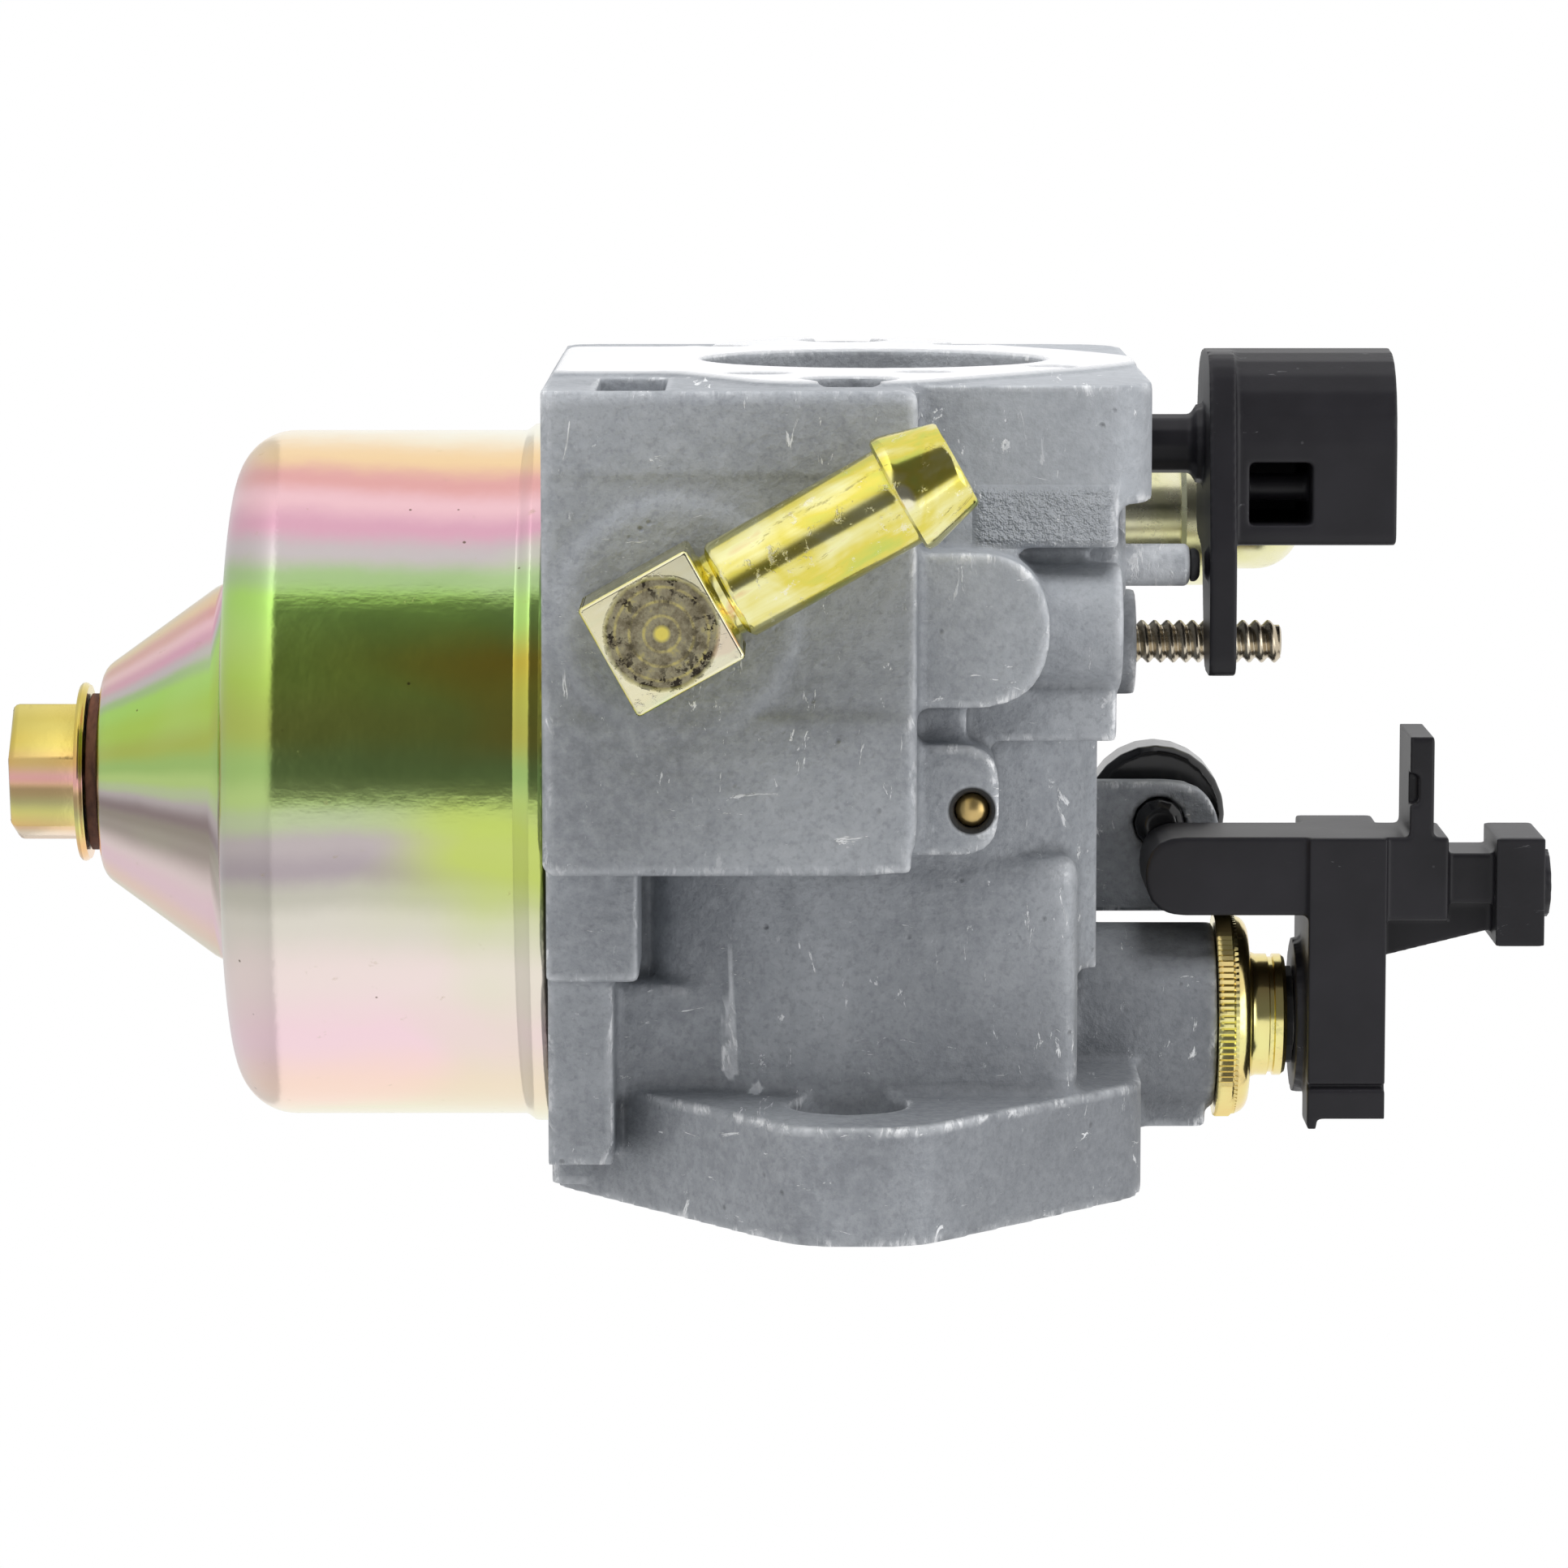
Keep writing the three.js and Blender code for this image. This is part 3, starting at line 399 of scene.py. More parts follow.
def castAluminium():
    f = Finish("castAluminium")
    here = f.place()
    x, y, z = axisParts(f, here)
    cloud = f.noise(here, 42, 4, 0.6)
    skin = f.noise(here, 900, 4, 0.7)
    lumps = f.noise(here, 330, 3, 0.6)
    pits = f.voronoi(here, 620)
    tone = f.ramp(cloud, [(0.32, casting["dark"]), (0.5, casting["colour"]), (0.7, casting["pale"])])
    speck = skin.between(0.4, 0.7)
    colour = f.mix(speck * 0.3, tone, casting["speck"])
    sand = f.noise(here, 2100, 2, 0.6)
    colour = f.mix((1 - sand.between(0.3, 0.5)) * 0.3, colour, casting["sand"])
    # painted shade: the throttle boss and the wall beside it are darkened against the choke end, as if in
    # shade
    paintedBossShade = x.between(*casting["paintedBossShadeX"], smooth=True) * z.between(*casting["paintedBossShadeZ"], smooth=True)
    colour = f.mix(paintedBossShade * 0.42, colour, casting["paintedBossShade"])
    # painted light: the skin is lightened towards the choke end on its high side, as if lit more strongly
    # there
    paintedLitPatch = z.between(*casting["paintedLitPatchZ"], smooth=True) * (1 - x.between(*casting["paintedLitPatchX"], smooth=True))
    colour = f.mix(paintedLitPatch * 0.28, colour, casting["paintedLitPatch"])
    # shadow line round the pressed-in passage plug
    plugLow, plugHigh = boxOf("passage_plug")
    fromPlug = f.node("ShaderNodeVectorMath", {"operation": "LENGTH"},
                      {0: f.stretched(f.place((plugLow + plugHigh) / 2), (1, 0, 1))}).part("Value")
    plugRadius = (plugHigh.x - plugLow.x) / 2
    gapStart, gapEnd = casting["plugGap"]
    rim = 1 - fromPlug.between(plugRadius + gapStart, plugRadius + gapEnd)
    # proud edges are rubbed bright, partly a painted highlight, and inside corners are darkened with painted
    # shade
    bend = f.node("ShaderNodeNewGeometry").part("Pointiness")
    edge = bend.between(0.508, 0.56) * f.noise(here, 310, 3, 0.7).between(0.34, 0.56)
    colour = f.mix(edge * 0.7, colour, casting["edge"])
    colour = f.mix((1 - bend.between(0.44, 0.497)) * 0.6, colour, casting["corner"])
    # rubbed bright marks: short streaks one way in some patches, the other way in the rest, and along edges
    rub = f.noise(f.stretched(here, (1.0, 0.35, 3.2)), 260, 5, 0.75, 0.6)
    patch = f.noise(here, 70, 2, 0.5)
    nicks = f.noise(f.stretched(here, (3.0, 0.35, 0.9)), 300, 5, 0.75, 0.8)
    rubbed = rub.between(0.63, 0.665) * patch.between(0.45, 0.54)
    rubbed = rubbed.math("MAXIMUM", nicks.between(0.65, 0.68) * (1 - patch.between(0.44, 0.54)))
    rubbed = rubbed.math("MAXIMUM", bend.between(0.51, 0.545) * rub.between(0.53, 0.6))
    colour = f.mix(rubbed * 0.85, colour, casting["nick"])
    holes = (1 - pits.between(0.0, 0.16)) * f.noise(here, 190, 2).between(0.56, 0.66)
    colour = f.mix(holes * 0.6, colour, casting["pit"])
    # the intake pad is machined bright
    padFace = boxOf("carburetor_body")[0].x
    padNear, padFar = casting["padDepth"]
    machined = 1 - x.between(padFace + padNear, padFace + padFar)
    lathe = f.noise(f.stretched(here, (1, 1, 0.06)), 2600, 2)
    colour = f.mix(machined, colour, f.mix(lathe, casting["latheDark"], casting["latheLight"]))
    colour = f.mix(rim, colour, casting["gap"])
    rough = 0.52 + cloud * 0.16 - rubbed * 0.2
    rough = rough * (1 - machined) + machined * 0.26
    # a patch of rough skin above the tongue, at the choke end
    coarse = x.within(*casting["coarseX"], 0.0006) * z.within(*casting["coarseZ"], 0.0008)
    coarse = coarse * (1 - y.between(*casting["coarseY"]))
    height = skin * 0.55 + lumps * 0.8 - holes * 0.7 + rubbed * 0.1
    height = height + coarse * f.noise(here, 1000, 3, 0.8) * 4
    height = height * (1 - machined * 0.96)
    f.set(Base_Color=colour, Metallic=casting["metal"] * (1 - rim), Roughness=rough,
          Normal=f.bump(height, casting["grain"], 0.75))
    return f.material


chromate = {
    "rough": 0.15, "wander": 0.12, "boltWander": 0.1, "turn": math.radians(7.06), "sumpFade": 0.0015,
    "rim": (0.56, 0.68, 0.12), "sheen": (0.62, 0.80, 0.42), "stain": (0.42, 0.34, 0.14),
    "dot": (0.10, 0.07, 0.03), "ember": (0.62, 0.36, 0.04), "shade": (0.20, 0.14, 0.12),
    "stops": [
        (0.00, (0.92, 0.90, 0.74)), (0.045, (0.92, 0.66, 0.36)), (0.085, (0.78, 0.40, 0.38)),
        (0.12, (0.88, 0.56, 0.60)), (0.16, (0.72, 0.40, 0.50)), (0.20, (0.58, 0.52, 0.52)),
        (0.235, (0.40, 0.56, 0.26)), (0.27, (0.42, 0.68, 0.16)), (0.36, (0.44, 0.62, 0.12)),
        (0.44, (0.44, 0.52, 0.12)), (0.50, (0.38, 0.56, 0.18)), (0.545, (0.50, 0.66, 0.24)),
        (0.58, (0.52, 0.60, 0.36)), (0.615, (0.52, 0.46, 0.46)), (0.655, (0.44, 0.38, 0.40)),
        (0.69, (0.56, 0.54, 0.46)), (0.73, (0.72, 0.68, 0.60)), (0.80, (0.86, 0.73, 0.70)),
        (0.88, (0.90, 0.67, 0.72)), (0.955, (0.95, 0.70, 0.58)), (1.00, (0.93, 0.84, 0.62))],
    "boltStops": [
        (0.00, (0.80, 0.66, 0.22)), (0.12, (0.62, 0.48, 0.10)), (0.30, (0.67, 0.45, 0.05)),
        (0.44, (0.72, 0.38, 0.10)), (0.56, (0.82, 0.43, 0.40)), (0.68, (0.78, 0.56, 0.20)),
        (0.80, (0.83, 0.69, 0.17)), (0.92, (0.92, 0.51, 0.22)), (1.00, (0.90, 0.62, 0.36))]}


def chromateFinish(name, centre, radius, wander, stops, floor):
    # bands of interference colour that run along a turned piece and drift a little;
    # below the floor they follow the turn of the surface instead of the width
    f = Finish(name)
    here = f.place(centre)
    x, y, z = axisParts(f, here)
    reach = (x * x + y * y).math("SQRT") + 0.0001
    sump = 1 - z.between(floor - chromate["sumpFade"], floor)
    across = x * math.cos(chromate["turn"]) - y * math.sin(chromate["turn"])
    across = across / (sump * reach + (1 - sump) * radius)
    drift = f.noise(f.stretched(here, (1, 1, 0.75)), 26, 2, 0.45, 0.3)
    fine = f.noise(here, 240, 3, 0.6)
    place = across * 0.5 + 0.5 + (drift - 0.5) * wander + (fine - 0.5) * 0.02
    colour = f.ramp(place, stops, "EASE")
    cloud = f.noise(f.stretched(here, (1, 1, 0.6)), 55, 2, 0.5, 0.4)
    ember = place.between(0.29, 0.36, smooth=True) * (1 - place.between(0.45, 0.51, smooth=True))
    ember = ember * z.between(-0.001, 0.010, smooth=True) * cloud.between(0.36, 0.52)
    colour = f.mix(ember * 0.7, colour, chromate["ember"])
    shade = sump * place.between(0.6, 0.66, smooth=True) * (1 - place.between(0.74, 0.84, smooth=True))
    colour = f.mix(shade * 0.6, colour, chromate["shade"])
    # the film is yellow-green towards the rim and in drifting patches
    rim = z.between(-0.001, 0.011, smooth=True) * cloud.between(0.4, 0.6)
    belt = place.between(0.48, 0.58, smooth=True) * (1 - place.between(0.66, 0.8, smooth=True))
    colour = f.mix(rim * belt * 0.85, colour, chromate["rim"])
    sheen = cloud.between(0.52, 0.66) * (1 - belt)
    colour = f.mix(sheen * 0.28, colour, chromate["sheen"])
    stains = f.noise(here, 520, 4, 0.7).between(0.66, 0.74)
    colour = f.mix(stains * 0.3, colour, chromate["stain"])
    dots = 1 - f.voronoi(here, 260).between(0.025, 0.04)
    colour = f.mix(dots * 0.8, colour, chromate["dot"])
    brushed = f.noise(f.stretched(here, (1, 1, 0.25)), 1300, 3, 0.6)
    grain = f.noise(here, 620, 3, 0.6)
    f.set(Base_Color=colour, Metallic=1.0, Roughness=chromate["rough"] + fine * 0.06 + stains * 0.15,
          Normal=f.bump(brushed * 0.5 + grain, 0.00004, 0.5))
    return f.material


zinc = {
    "colour": (0.76, 0.66, 0.12), "green": (0.52, 0.64, 0.14), "pale": (0.88, 0.85, 0.44),
    "copper": (0.76, 0.46, 0.22), "scuff": (0.95, 0.94, 0.9), "tarnish": (0.22, 0.17, 0.05),
    "ring": (0.66, 0.56, 0.16), "heart": (0.8, 0.68, 0.14), "pit": (0.025, 0.018, 0.01),
    "border": (0.9, 0.86, 0.72),
    "worn": [(0.34, (0.12, 0.10, 0.055)), (0.46, (0.22, 0.19, 0.12)), (0.58, (0.32, 0.29, 0.19)),
             (0.7, (0.44, 0.38, 0.16))],
    # radii on the worn face and the step between its rings, in metres
    "discEdge": (0.0039, 0.0043), "heartEdge": (0.0004, 0.0007), "pitted": (0.0016, 0.0034),
    "ringStep": 0.00105, "faceDepth": (0.00002, 0.00012)}


def wornElbowZinc(centre, tilt):
    # the flat end of the block is stained and pitted inside a pressed circle with fine rings
    f = Finish("wornElbowZinc")
    here = f.place()
    local = f.place(centre, (0, tilt, 0))
    x, y, z = axisParts(f, local)
    reach = (x * x + z * z).math("SQRT")
    front = 1 - y.between(*zinc["faceDepth"])
    patch = f.noise(here, 150, 3, 0.6, 0.8)
    streaks = f.noise(f.stretched(local, (1, 1, 0.12)), 520, 3, 0.6)
    patch = patch * 0.55 + streaks * 0.45
    colour = f.ramp(patch, [(0.36, zinc["green"]), (0.48, zinc["colour"]), (0.60, zinc["pale"]),
                            (0.68, zinc["copper"])])
    scuff = f.noise(here, 800, 5, 0.8, 0.4).between(0.585, 0.66)
    colour = f.mix(scuff * 0.45, colour, zinc["scuff"])
    tarnish = f.noise(f.stretched(local, (1, 1, 0.3)), 900, 5, 0.8, 0.5).between(0.60, 0.66)
    colour = f.mix(tarnish * 0.55, colour, zinc["tarnish"])
    stain = f.noise(here, 950, 4, 0.7)
    edge = f.noise(here, 420, 3, 0.6)
    disc = 1 - (reach + (edge - 0.5) * 0.0007).between(*zinc["discEdge"])
    worn = f.ramp(stain, zinc["worn"])
    rings = (reach * (math.tau / zinc["ringStep"])).math("SINE") * 0.5 + 0.5
    worn = f.mix(rings.between(0.82, 1.0) * stain.between(0.4, 0.6) * 0.6, worn, zinc["ring"])
    worn = f.mix(1 - reach.between(*zinc["heartEdge"]), worn, zinc["heart"])
    pits = f.noise(here, 1300, 3, 0.7).between(0.52, 0.58) * reach.between(*zinc["pitted"])
    worn = f.mix(pits, worn, zinc["pit"])
    colour = f.mix(front * (1 - disc) * 0.7, colour, zinc["border"])
    colour = f.mix(front * disc, colour, worn)
    height = front * disc * (rings * 0.35 + stain * 0.6 - pits) + scuff * 0.15
    f.set(Base_Color=colour, Metallic=1 - front * disc * 0.45,
          Roughness=0.15 + scuff * 0.2 + front * disc * 0.35, Normal=f.bump(height, 0.00006, 0.7))
    return f.material


def simpleMetal(name, colour, second, rough):
    # two tones in clouds, with fine grain and a little grime
    f = Finish(name)
    here = f.place()
    cloud = f.noise(here, 130, 3, 0.6)
    fine = f.noise(here, 700, 3, 0.65)
    colour = f.mix(cloud.between(0.35, 0.65), colour, second)
    grime = f.noise(here, 420, 4, 0.7).between(0.58, 0.72)
    colour = f.mix(grime * 0.3, colour, (0.1, 0.09, 0.07))
    f.set(Base_Color=colour, Metallic=1.0, Roughness=rough + fine * 0.12 + grime * 0.12,
          Normal=f.bump(fine, 0.00002, 0.5))
    return f.material


plastic = {"colour": (0.010, 0.0095, 0.0115), "worn": (0.019, 0.018, 0.022), "mark": (0.24, 0.24, 0.25),
           "rough": 0.38, "shine": 0.32}


def blackPlastic():
    f = Finish("blackPlastic")
    here = f.place()
    cloud = f.noise(here, 90, 3, 0.6)
    grain = f.noise(here, 1900, 3, 0.6)
    scuff = f.noise(f.stretched(here, (1.0, 1.0, 0.22)), 620, 5, 0.8, 0.7)
    marks = scuff.between(0.63, 0.68) * f.noise(here, 120, 2).between(0.5, 0.6)
    dust = f.voronoi(here, 430)
    specks = (1 - dust.between(0.03, 0.07)) * 0.5
    colour = f.mix(cloud.between(0.35, 0.7), plastic["colour"], plastic["worn"])
    colour = f.mix(marks * 0.5 + specks * 0.35, colour, plastic["mark"])
    f.set(Base_Color=colour, Roughness=plastic["rough"] + cloud * 0.12 + marks * 0.2,
          Normal=f.bump(grain + cloud * 2.0, 0.000022, 0.55))
    f.shader.inputs["Specular IOR Level"].default_value = plastic["shine"]
    return f.material


def softMaterial(name, dark, light, rough, scale, depth=0.00004):
    # rubber, fibre, foam and plain black plastic: two tones with fine unevenness
    f = Finish(name)
    here = f.place()
    fibres = f.noise(f.stretched(here, (1, 1, 2.5)), scale, 4, 0.7)
    colour = f.mix(fibres.between(0.35, 0.7), dark, light)
    f.set(Base_Color=colour, Roughness=rough + fibres * 0.1, Normal=f.bump(fibres, depth, 0.7))
    return f.material


bowlCentre = middleOf("float_bowl")
bowlRadius = (boxOf("float_bowl")[1].x - boxOf("float_bowl")[0].x) / 2
bowlSizes = {"wall": 0.9, "corner": 4.5, "floor": -49.1, "sump": 16.0, "bead": 0.55}
# a height in metres over the whole bolt, so that all of it takes its bands as the sump does
aboveAll = 1.0
castFinish = castAluminium()
bowlFinish = chromateFinish("bowlChromate", bowlCentre, bowlRadius, chromate["wander"], chromate["stops"],
                            bowlSizes["floor"] * mm - bowlCentre.z)
boltFinish = chromateFinish("boltChromate", middleOf("bowl_bolt"), bowlRadius, chromate["boltWander"],
                            chromate["boltStops"], aboveAll)
ventFinish = simpleMetal("paleZinc", (0.80, 0.78, 0.40), (0.88, 0.85, 0.62), 0.2)
glossFinish = softMaterial("glossBlack", (0.006, 0.006, 0.007), (0.012, 0.012, 0.013), 0.14, 500, 0.00001)
goldFinish = simpleMetal("goldPlate", (0.84, 0.58, 0.24), (0.86, 0.80, 0.34), 0.12)
steelFinish = simpleMetal("turnedSteel", (0.5, 0.49, 0.46), (0.62, 0.6, 0.56), 0.3)
studFinish = simpleMetal("studNickel", (0.52, 0.44, 0.32), (0.72, 0.66, 0.54), 0.2)
brassFinish = simpleMetal("turnedBrass", (0.5, 0.36, 0.14), (0.68, 0.5, 0.22), 0.3)
plasticFinish = blackPlastic()
rubberFinish = softMaterial("rubber", (0.012, 0.012, 0.013), (0.03, 0.03, 0.032), 0.62, 800)
fibreFinish = softMaterial("pressedFibre", (0.06, 0.022, 0.012), (0.17, 0.07, 0.04), 0.7, 500)
foamFinish = softMaterial("floatFoam", (0.03, 0.03, 0.035), (0.07, 0.07, 0.08), 0.6, 300)
print("materials made")

seat = middleOf("needle_seat")
castDetails = {
    "front": -35.0, "foot": -23.8, "slabTop": 3.4,
    "lowerStep": (-39.5, -27.8, 0.35), "upperStep": (0.9, -57.2, 0.2), "stepRound": 0.3, "stepDepth": 2,
    "lowerWall": ((-17.3, -20.3, -20), (-8.5, -5, -4), 0.8),
    "throatWall": ((-27.4, -22.7, -6.2), (-8.5, -5, 16.4), 1.6),
    "boreCut": [(0, -30), (13, -30), (13, 2), (0, 2)],
    "swell": [(0, 2), (9.5, 2), (9.3, -0.1), (8.4, -0.5), (0, -0.5)], "swellZ": -14.0,
    "voxel": 0.4, "keep": 0.32, "smoothing": 4}


def castBody():
    # the frame's body with shallow steps, throat walls and a swell under the inlet, made one skin
    sizes = castDetails
    piece = mergedCopy("carburetor_body", "castBody")
    front, foot, top = sizes["front"], sizes["foot"], sizes["slabTop"]
    back, edge = front + sizes["stepDepth"], sizes["stepRound"]
    start, end, proud = sizes["lowerStep"]
    lowerStep = blockPiece("lowerStep", (start, front - proud, foot), (end, back, top), edge)
    inset, end, proud = sizes["upperStep"]
    start = boxOf("carburetor_body")[0].x / mm + inset
    upperStep = blockPiece("upperStep", (start, front - proud, foot), (end, back, top), edge)
    walls = [blockPiece(name, *sizes[name]) for name in ("lowerWall", "throatWall")]
    # the walls stop short of the throttle bore
    for wall in walls:
        cutAway(wall, turnedPiece("boreCutter", sizes["boreCut"], (0, 0, 0), "x", 96))
    swell = turnedPiece("inletSwell", sizes["swell"], (seat.x, front * mm, sizes["swellZ"] * mm), "y", 64)
    joinPieces(piece, [lowerStep, upperStep, *walls, swell])
    evenSkin(piece, sizes["voxel"], sizes["keep"], sizes["smoothing"])
    return finishPiece(piece, "casting", "casting", castFinish, "carburetor_body")


castPiece = castBody()
print("casting made,", len(castPiece.data.polygons), "faces")


def floatBowlPiece():
    low, high = boxOf("float_bowl")
    top, bottom = high.z / mm, low.z / mm
    wall, corner, floor, sump, bead = (bowlSizes[k] for k in ("wall", "corner", "floor", "sump", "bead"))
    radius = bowlRadius / mm - bead
    outer = [(3.1, bottom), (6.2, bottom), *arcPoints(7.2, bottom + 1.9, 1.9, -90, -35, 5),
             (13.9, floor - 3.0), *arcPoints(17.3, floor - 2.9, 2.8, 160, 90, 6),
             *arcPoints(radius - corner, floor + corner, corner, -90, 0, 14),
             (radius, top - 2.3), (radius + 0.12, top - 2.05), (radius + 0.5, top - 1.55),
             (radius + bead, top - 1.2), (radius + bead, top - 0.35), (radius + 0.35, top)]
    inner = [(radius - wall, top), *arcPoints(radius - corner, floor + corner, corner - wall, 0, -90, 8),
             (sump - 0.5, floor + wall), (13.1, floor - 2.2), (8.3, bottom + 1.7), (6.2, bottom + wall),
             (3.1, bottom + wall), (3.1, bottom)]
    piece = turnedPiece("floatBowl", outer + inner, (bowlCentre.x, 0, 0), "z", 160)
    smoothByAngle(piece, 40)
    return finishPiece(piece, "casting", "chromate", bowlFinish, "float_bowl")


boltSizes = {"corners": 5.7, "height": 5, "overlap": 0.6, "turn": 42, "edge": 0.18, "chamfer": 0.55,
             "neck": 4.2, "flange": 6.9, "flangeHeight": 1.0, "shank": 2.9, "tip": 2.4}


def bowlBoltPiece():
    sizes = boltSizes
    low, high = boxOf("bowl_bolt")
    hexBottom, shankTop = low.z / mm, high.z / mm
    hexTop, depth = hexBottom + sizes["height"], sizes["height"] + sizes["overlap"]
    deselectAll()
    bpy.ops.mesh.primitive_cylinder_add(vertices=6, radius=sizes["corners"] * mm, depth=depth * mm,
                                        location=(bowlCentre.x, 0, (hexBottom + depth / 2) * mm),
                                        rotation=(0, 0, math.radians(sizes["turn"])))
    piece = newestPiece("bowlBolt")
    editMode(piece, "EDGE")
    pick(piece, "EDGE", lambda e: abs(e.verts[0].co.z - e.verts[1].co.z) > 1 * mm)
    bpy.ops.mesh.bevel(offset=sizes["edge"] * mm, segments=2, affect="EDGES")
    bpy.ops.mesh.select_all(action="DESELECT")
    bpy.ops.mesh.select_mode(type="FACE")
    pick(piece, "FACE", lambda f: f.normal.z < -0.9)
    bpy.ops.mesh.bevel(offset=sizes["chamfer"] * mm, segments=3, affect="EDGES")
    objectMode()
    neck, flange, shank = sizes["neck"], sizes["flange"], sizes["shank"]
    flangeTop = hexTop + sizes["flangeHeight"]
    profile = [(0, hexTop - 0.4), (neck, hexTop - 0.4), (neck + 0.3, hexTop + 0.1),
               (flange - 0.6, hexTop + 0.25), *arcPoints(flange - 0.15, hexTop + 0.6, 0.35, -60, 60, 4),
               (flange, flangeTop), (shank, flangeTop), (shank, shankTop - 0.6), (sizes["tip"], shankTop),
               (0, shankTop)]
    joinPieces(piece, [turnedPiece("boltNeck", profile, (bowlCentre.x, 0, 0), "z", 72)])
    smoothByAngle(piece, 38)
    return finishPiece(piece, "casting", "chromate", boltFinish, "bowl_bolt")


def roundedCopy(node, name, body, slotName, material, width):
    # the frame shape with its edges rounded off
    piece = mergedCopy(node, name)
    softEdges(piece, width * mm)
    return finishPiece(piece, body, slotName, material, node)


def mouldedCopy(node, name, body, slotName, material, voxel, rounds=4, cuts=(), keep=0.4):
    # a fine even skin over the frame shape, smoothed a little so that its edges come out moulded
    piece = mergedCopy(node, name)
    for low, high in cuts:
        cutAway(piece, blockPiece(name + "Cutter", low, high))
    evenSkin(piece, voxel, keep, rounds)
    return finishPiece(piece, body, slotName, material, node)


floatBowlPiece()
bowlBoltPiece()
roundedCopy("bowl_bolt_washer", "fibreWasher", "casting", "fibre", fibreFinish, 0.12)
print("float chamber made")

elbow = {"tilt": 29.3, "block": 9.0, "tube": 3.82, "barb": 4.53, "bore": 2.2, "neck": 1.1, "tubeLength": 15.1,
         "barbLength": 5, "spigot": 3.4, "spigotLength": 8, "z": -14.9, "sideEdge": 0.35, "faceEdge": 0.28}


def inletElbow():
    half = elbow["block"] / 2
    front = boxOf("fuel_inlet_elbow")[0].y / mm + elbow["barb"] - half
    centre = Vector((seat.x, (front + half) * mm, elbow["z"] * mm))
    block = blockPiece("elbowBlock", (-half, -half, -half), (half, half, half))
    editMode(block, "EDGE")
    pick(block, "EDGE", lambda e: abs(e.verts[0].co.y - e.verts[1].co.y) > 1 * mm)
    bpy.ops.mesh.bevel(offset=elbow["sideEdge"] * mm, segments=3, affect="EDGES")
    bpy.ops.mesh.select_all(action="DESELECT")
    pick(block, "EDGE", lambda e: all(abs(abs(v.co.y) - half * mm) < 1e-6 for v in e.verts))
    bpy.ops.mesh.bevel(offset=elbow["faceEdge"] * mm, segments=3, affect="EDGES")
    objectMode()
    tube, barb, bore = elbow["tube"], elbow["barb"], elbow["bore"]
    neckEnd, barbStart = half + elbow["neck"], half + elbow["tubeLength"]
    end = barbStart + elbow["barbLength"]
    profile = [(bore, half - 2), (bore, end - 0.3), (bore + 0.25, end), (barb - 1.3, end),
               (barb - 1.12, end - 0.2), (barb - 0.05, barbStart + 1.0), (barb, barbStart + 0.75),
               (barb, barbStart + 0.25), (barb - 0.2, barbStart + 0.05), (tube + 0.02, barbStart),
               (tube, barbStart - 0.1), (tube, neckEnd + 0.15), (tube - 0.15, neckEnd - 0.05),
               (tube - 0.55, neckEnd - 0.3), (tube - 0.6, half + 0.35), (tube + 0.1, half - 0.1),
               (tube + 0.1, half - 2), (bore, half - 2)]
    pipe = turnedPiece("elbowTube", profile, (0, 0, 0), "z", 72)
    spigot, tip = elbow["spigot"], half + elbow["spigotLength"]
    profile = [(0, half - 1), (spigot, half - 1), (spigot, tip - 0.4), (spigot - 0.3, tip), (0, tip)]
    piece = joinPieces(block, [pipe, turnedPiece("elbowSpigot", profile, (0, 0, 0), "y", 48)])
    piece.name = "inletElbow"
    turn = Matrix.Rotation(math.radians(-elbow["tilt"]), 4, "Y")
    piece.data.transform(Matrix.Translation(centre) @ turn)
    flatFaces(piece, 38)
    face = Vector((centre.x, front * mm, centre.z))
    finish = wornElbowZinc(face, math.radians(-elbow["tilt"]))
    return finishPiece(piece, "casting", "yellow_zinc", finish, "fuel_inlet_elbow")


inletElbow()


vent = {"bore": 1.6, "spigot": 3.3, "spigotLength": 6, "neck": 4.5, "ring": 5.75, "ringAt": 5.15, "dome": 3.8}


def ventPiece():
    bore, spigot, neck, ring, dome = (vent[k] for k in ("bore", "spigot", "neck", "ring", "dome"))
    low, high = boxOf("vent_fitting")
    centre = (low + high) / 2
    foot, top = low.z / mm + 0.05, high.z / mm
    base = foot + vent["spigotLength"]
    ringZ = base + vent["ringAt"]
    profile = [(bore, foot), (spigot, foot), (spigot, base), (neck, base), (neck, ringZ - 0.6),
               (ring - 0.45, ringZ - 0.6), (ring, ringZ - 0.2), (ring, ringZ + 1.4),
               (ring - 0.45, ringZ + 1.8), (neck + 0.1, ringZ + 2.0), (neck - 0.1, ringZ + 2.3),
               *arcPoints(0.6, top - dome, dome, 0, 72, 9), (bore, top), (bore, foot)]
    piece = turnedPiece("ventFitting", profile, (centre.x, centre.y, 0), "z", 72)
    smoothByAngle(piece, 38)
    return finishPiece(piece, "casting", "yellow_zinc", ventFinish, "vent_fitting")


ventPiece()
print("fittings made")

knurls = {"count": 96, "depth": 0.975, "band": 0.3, "height": 1.4}
cap = {"bore": 3.05, "neck": 4.85, "groove": 4.6}


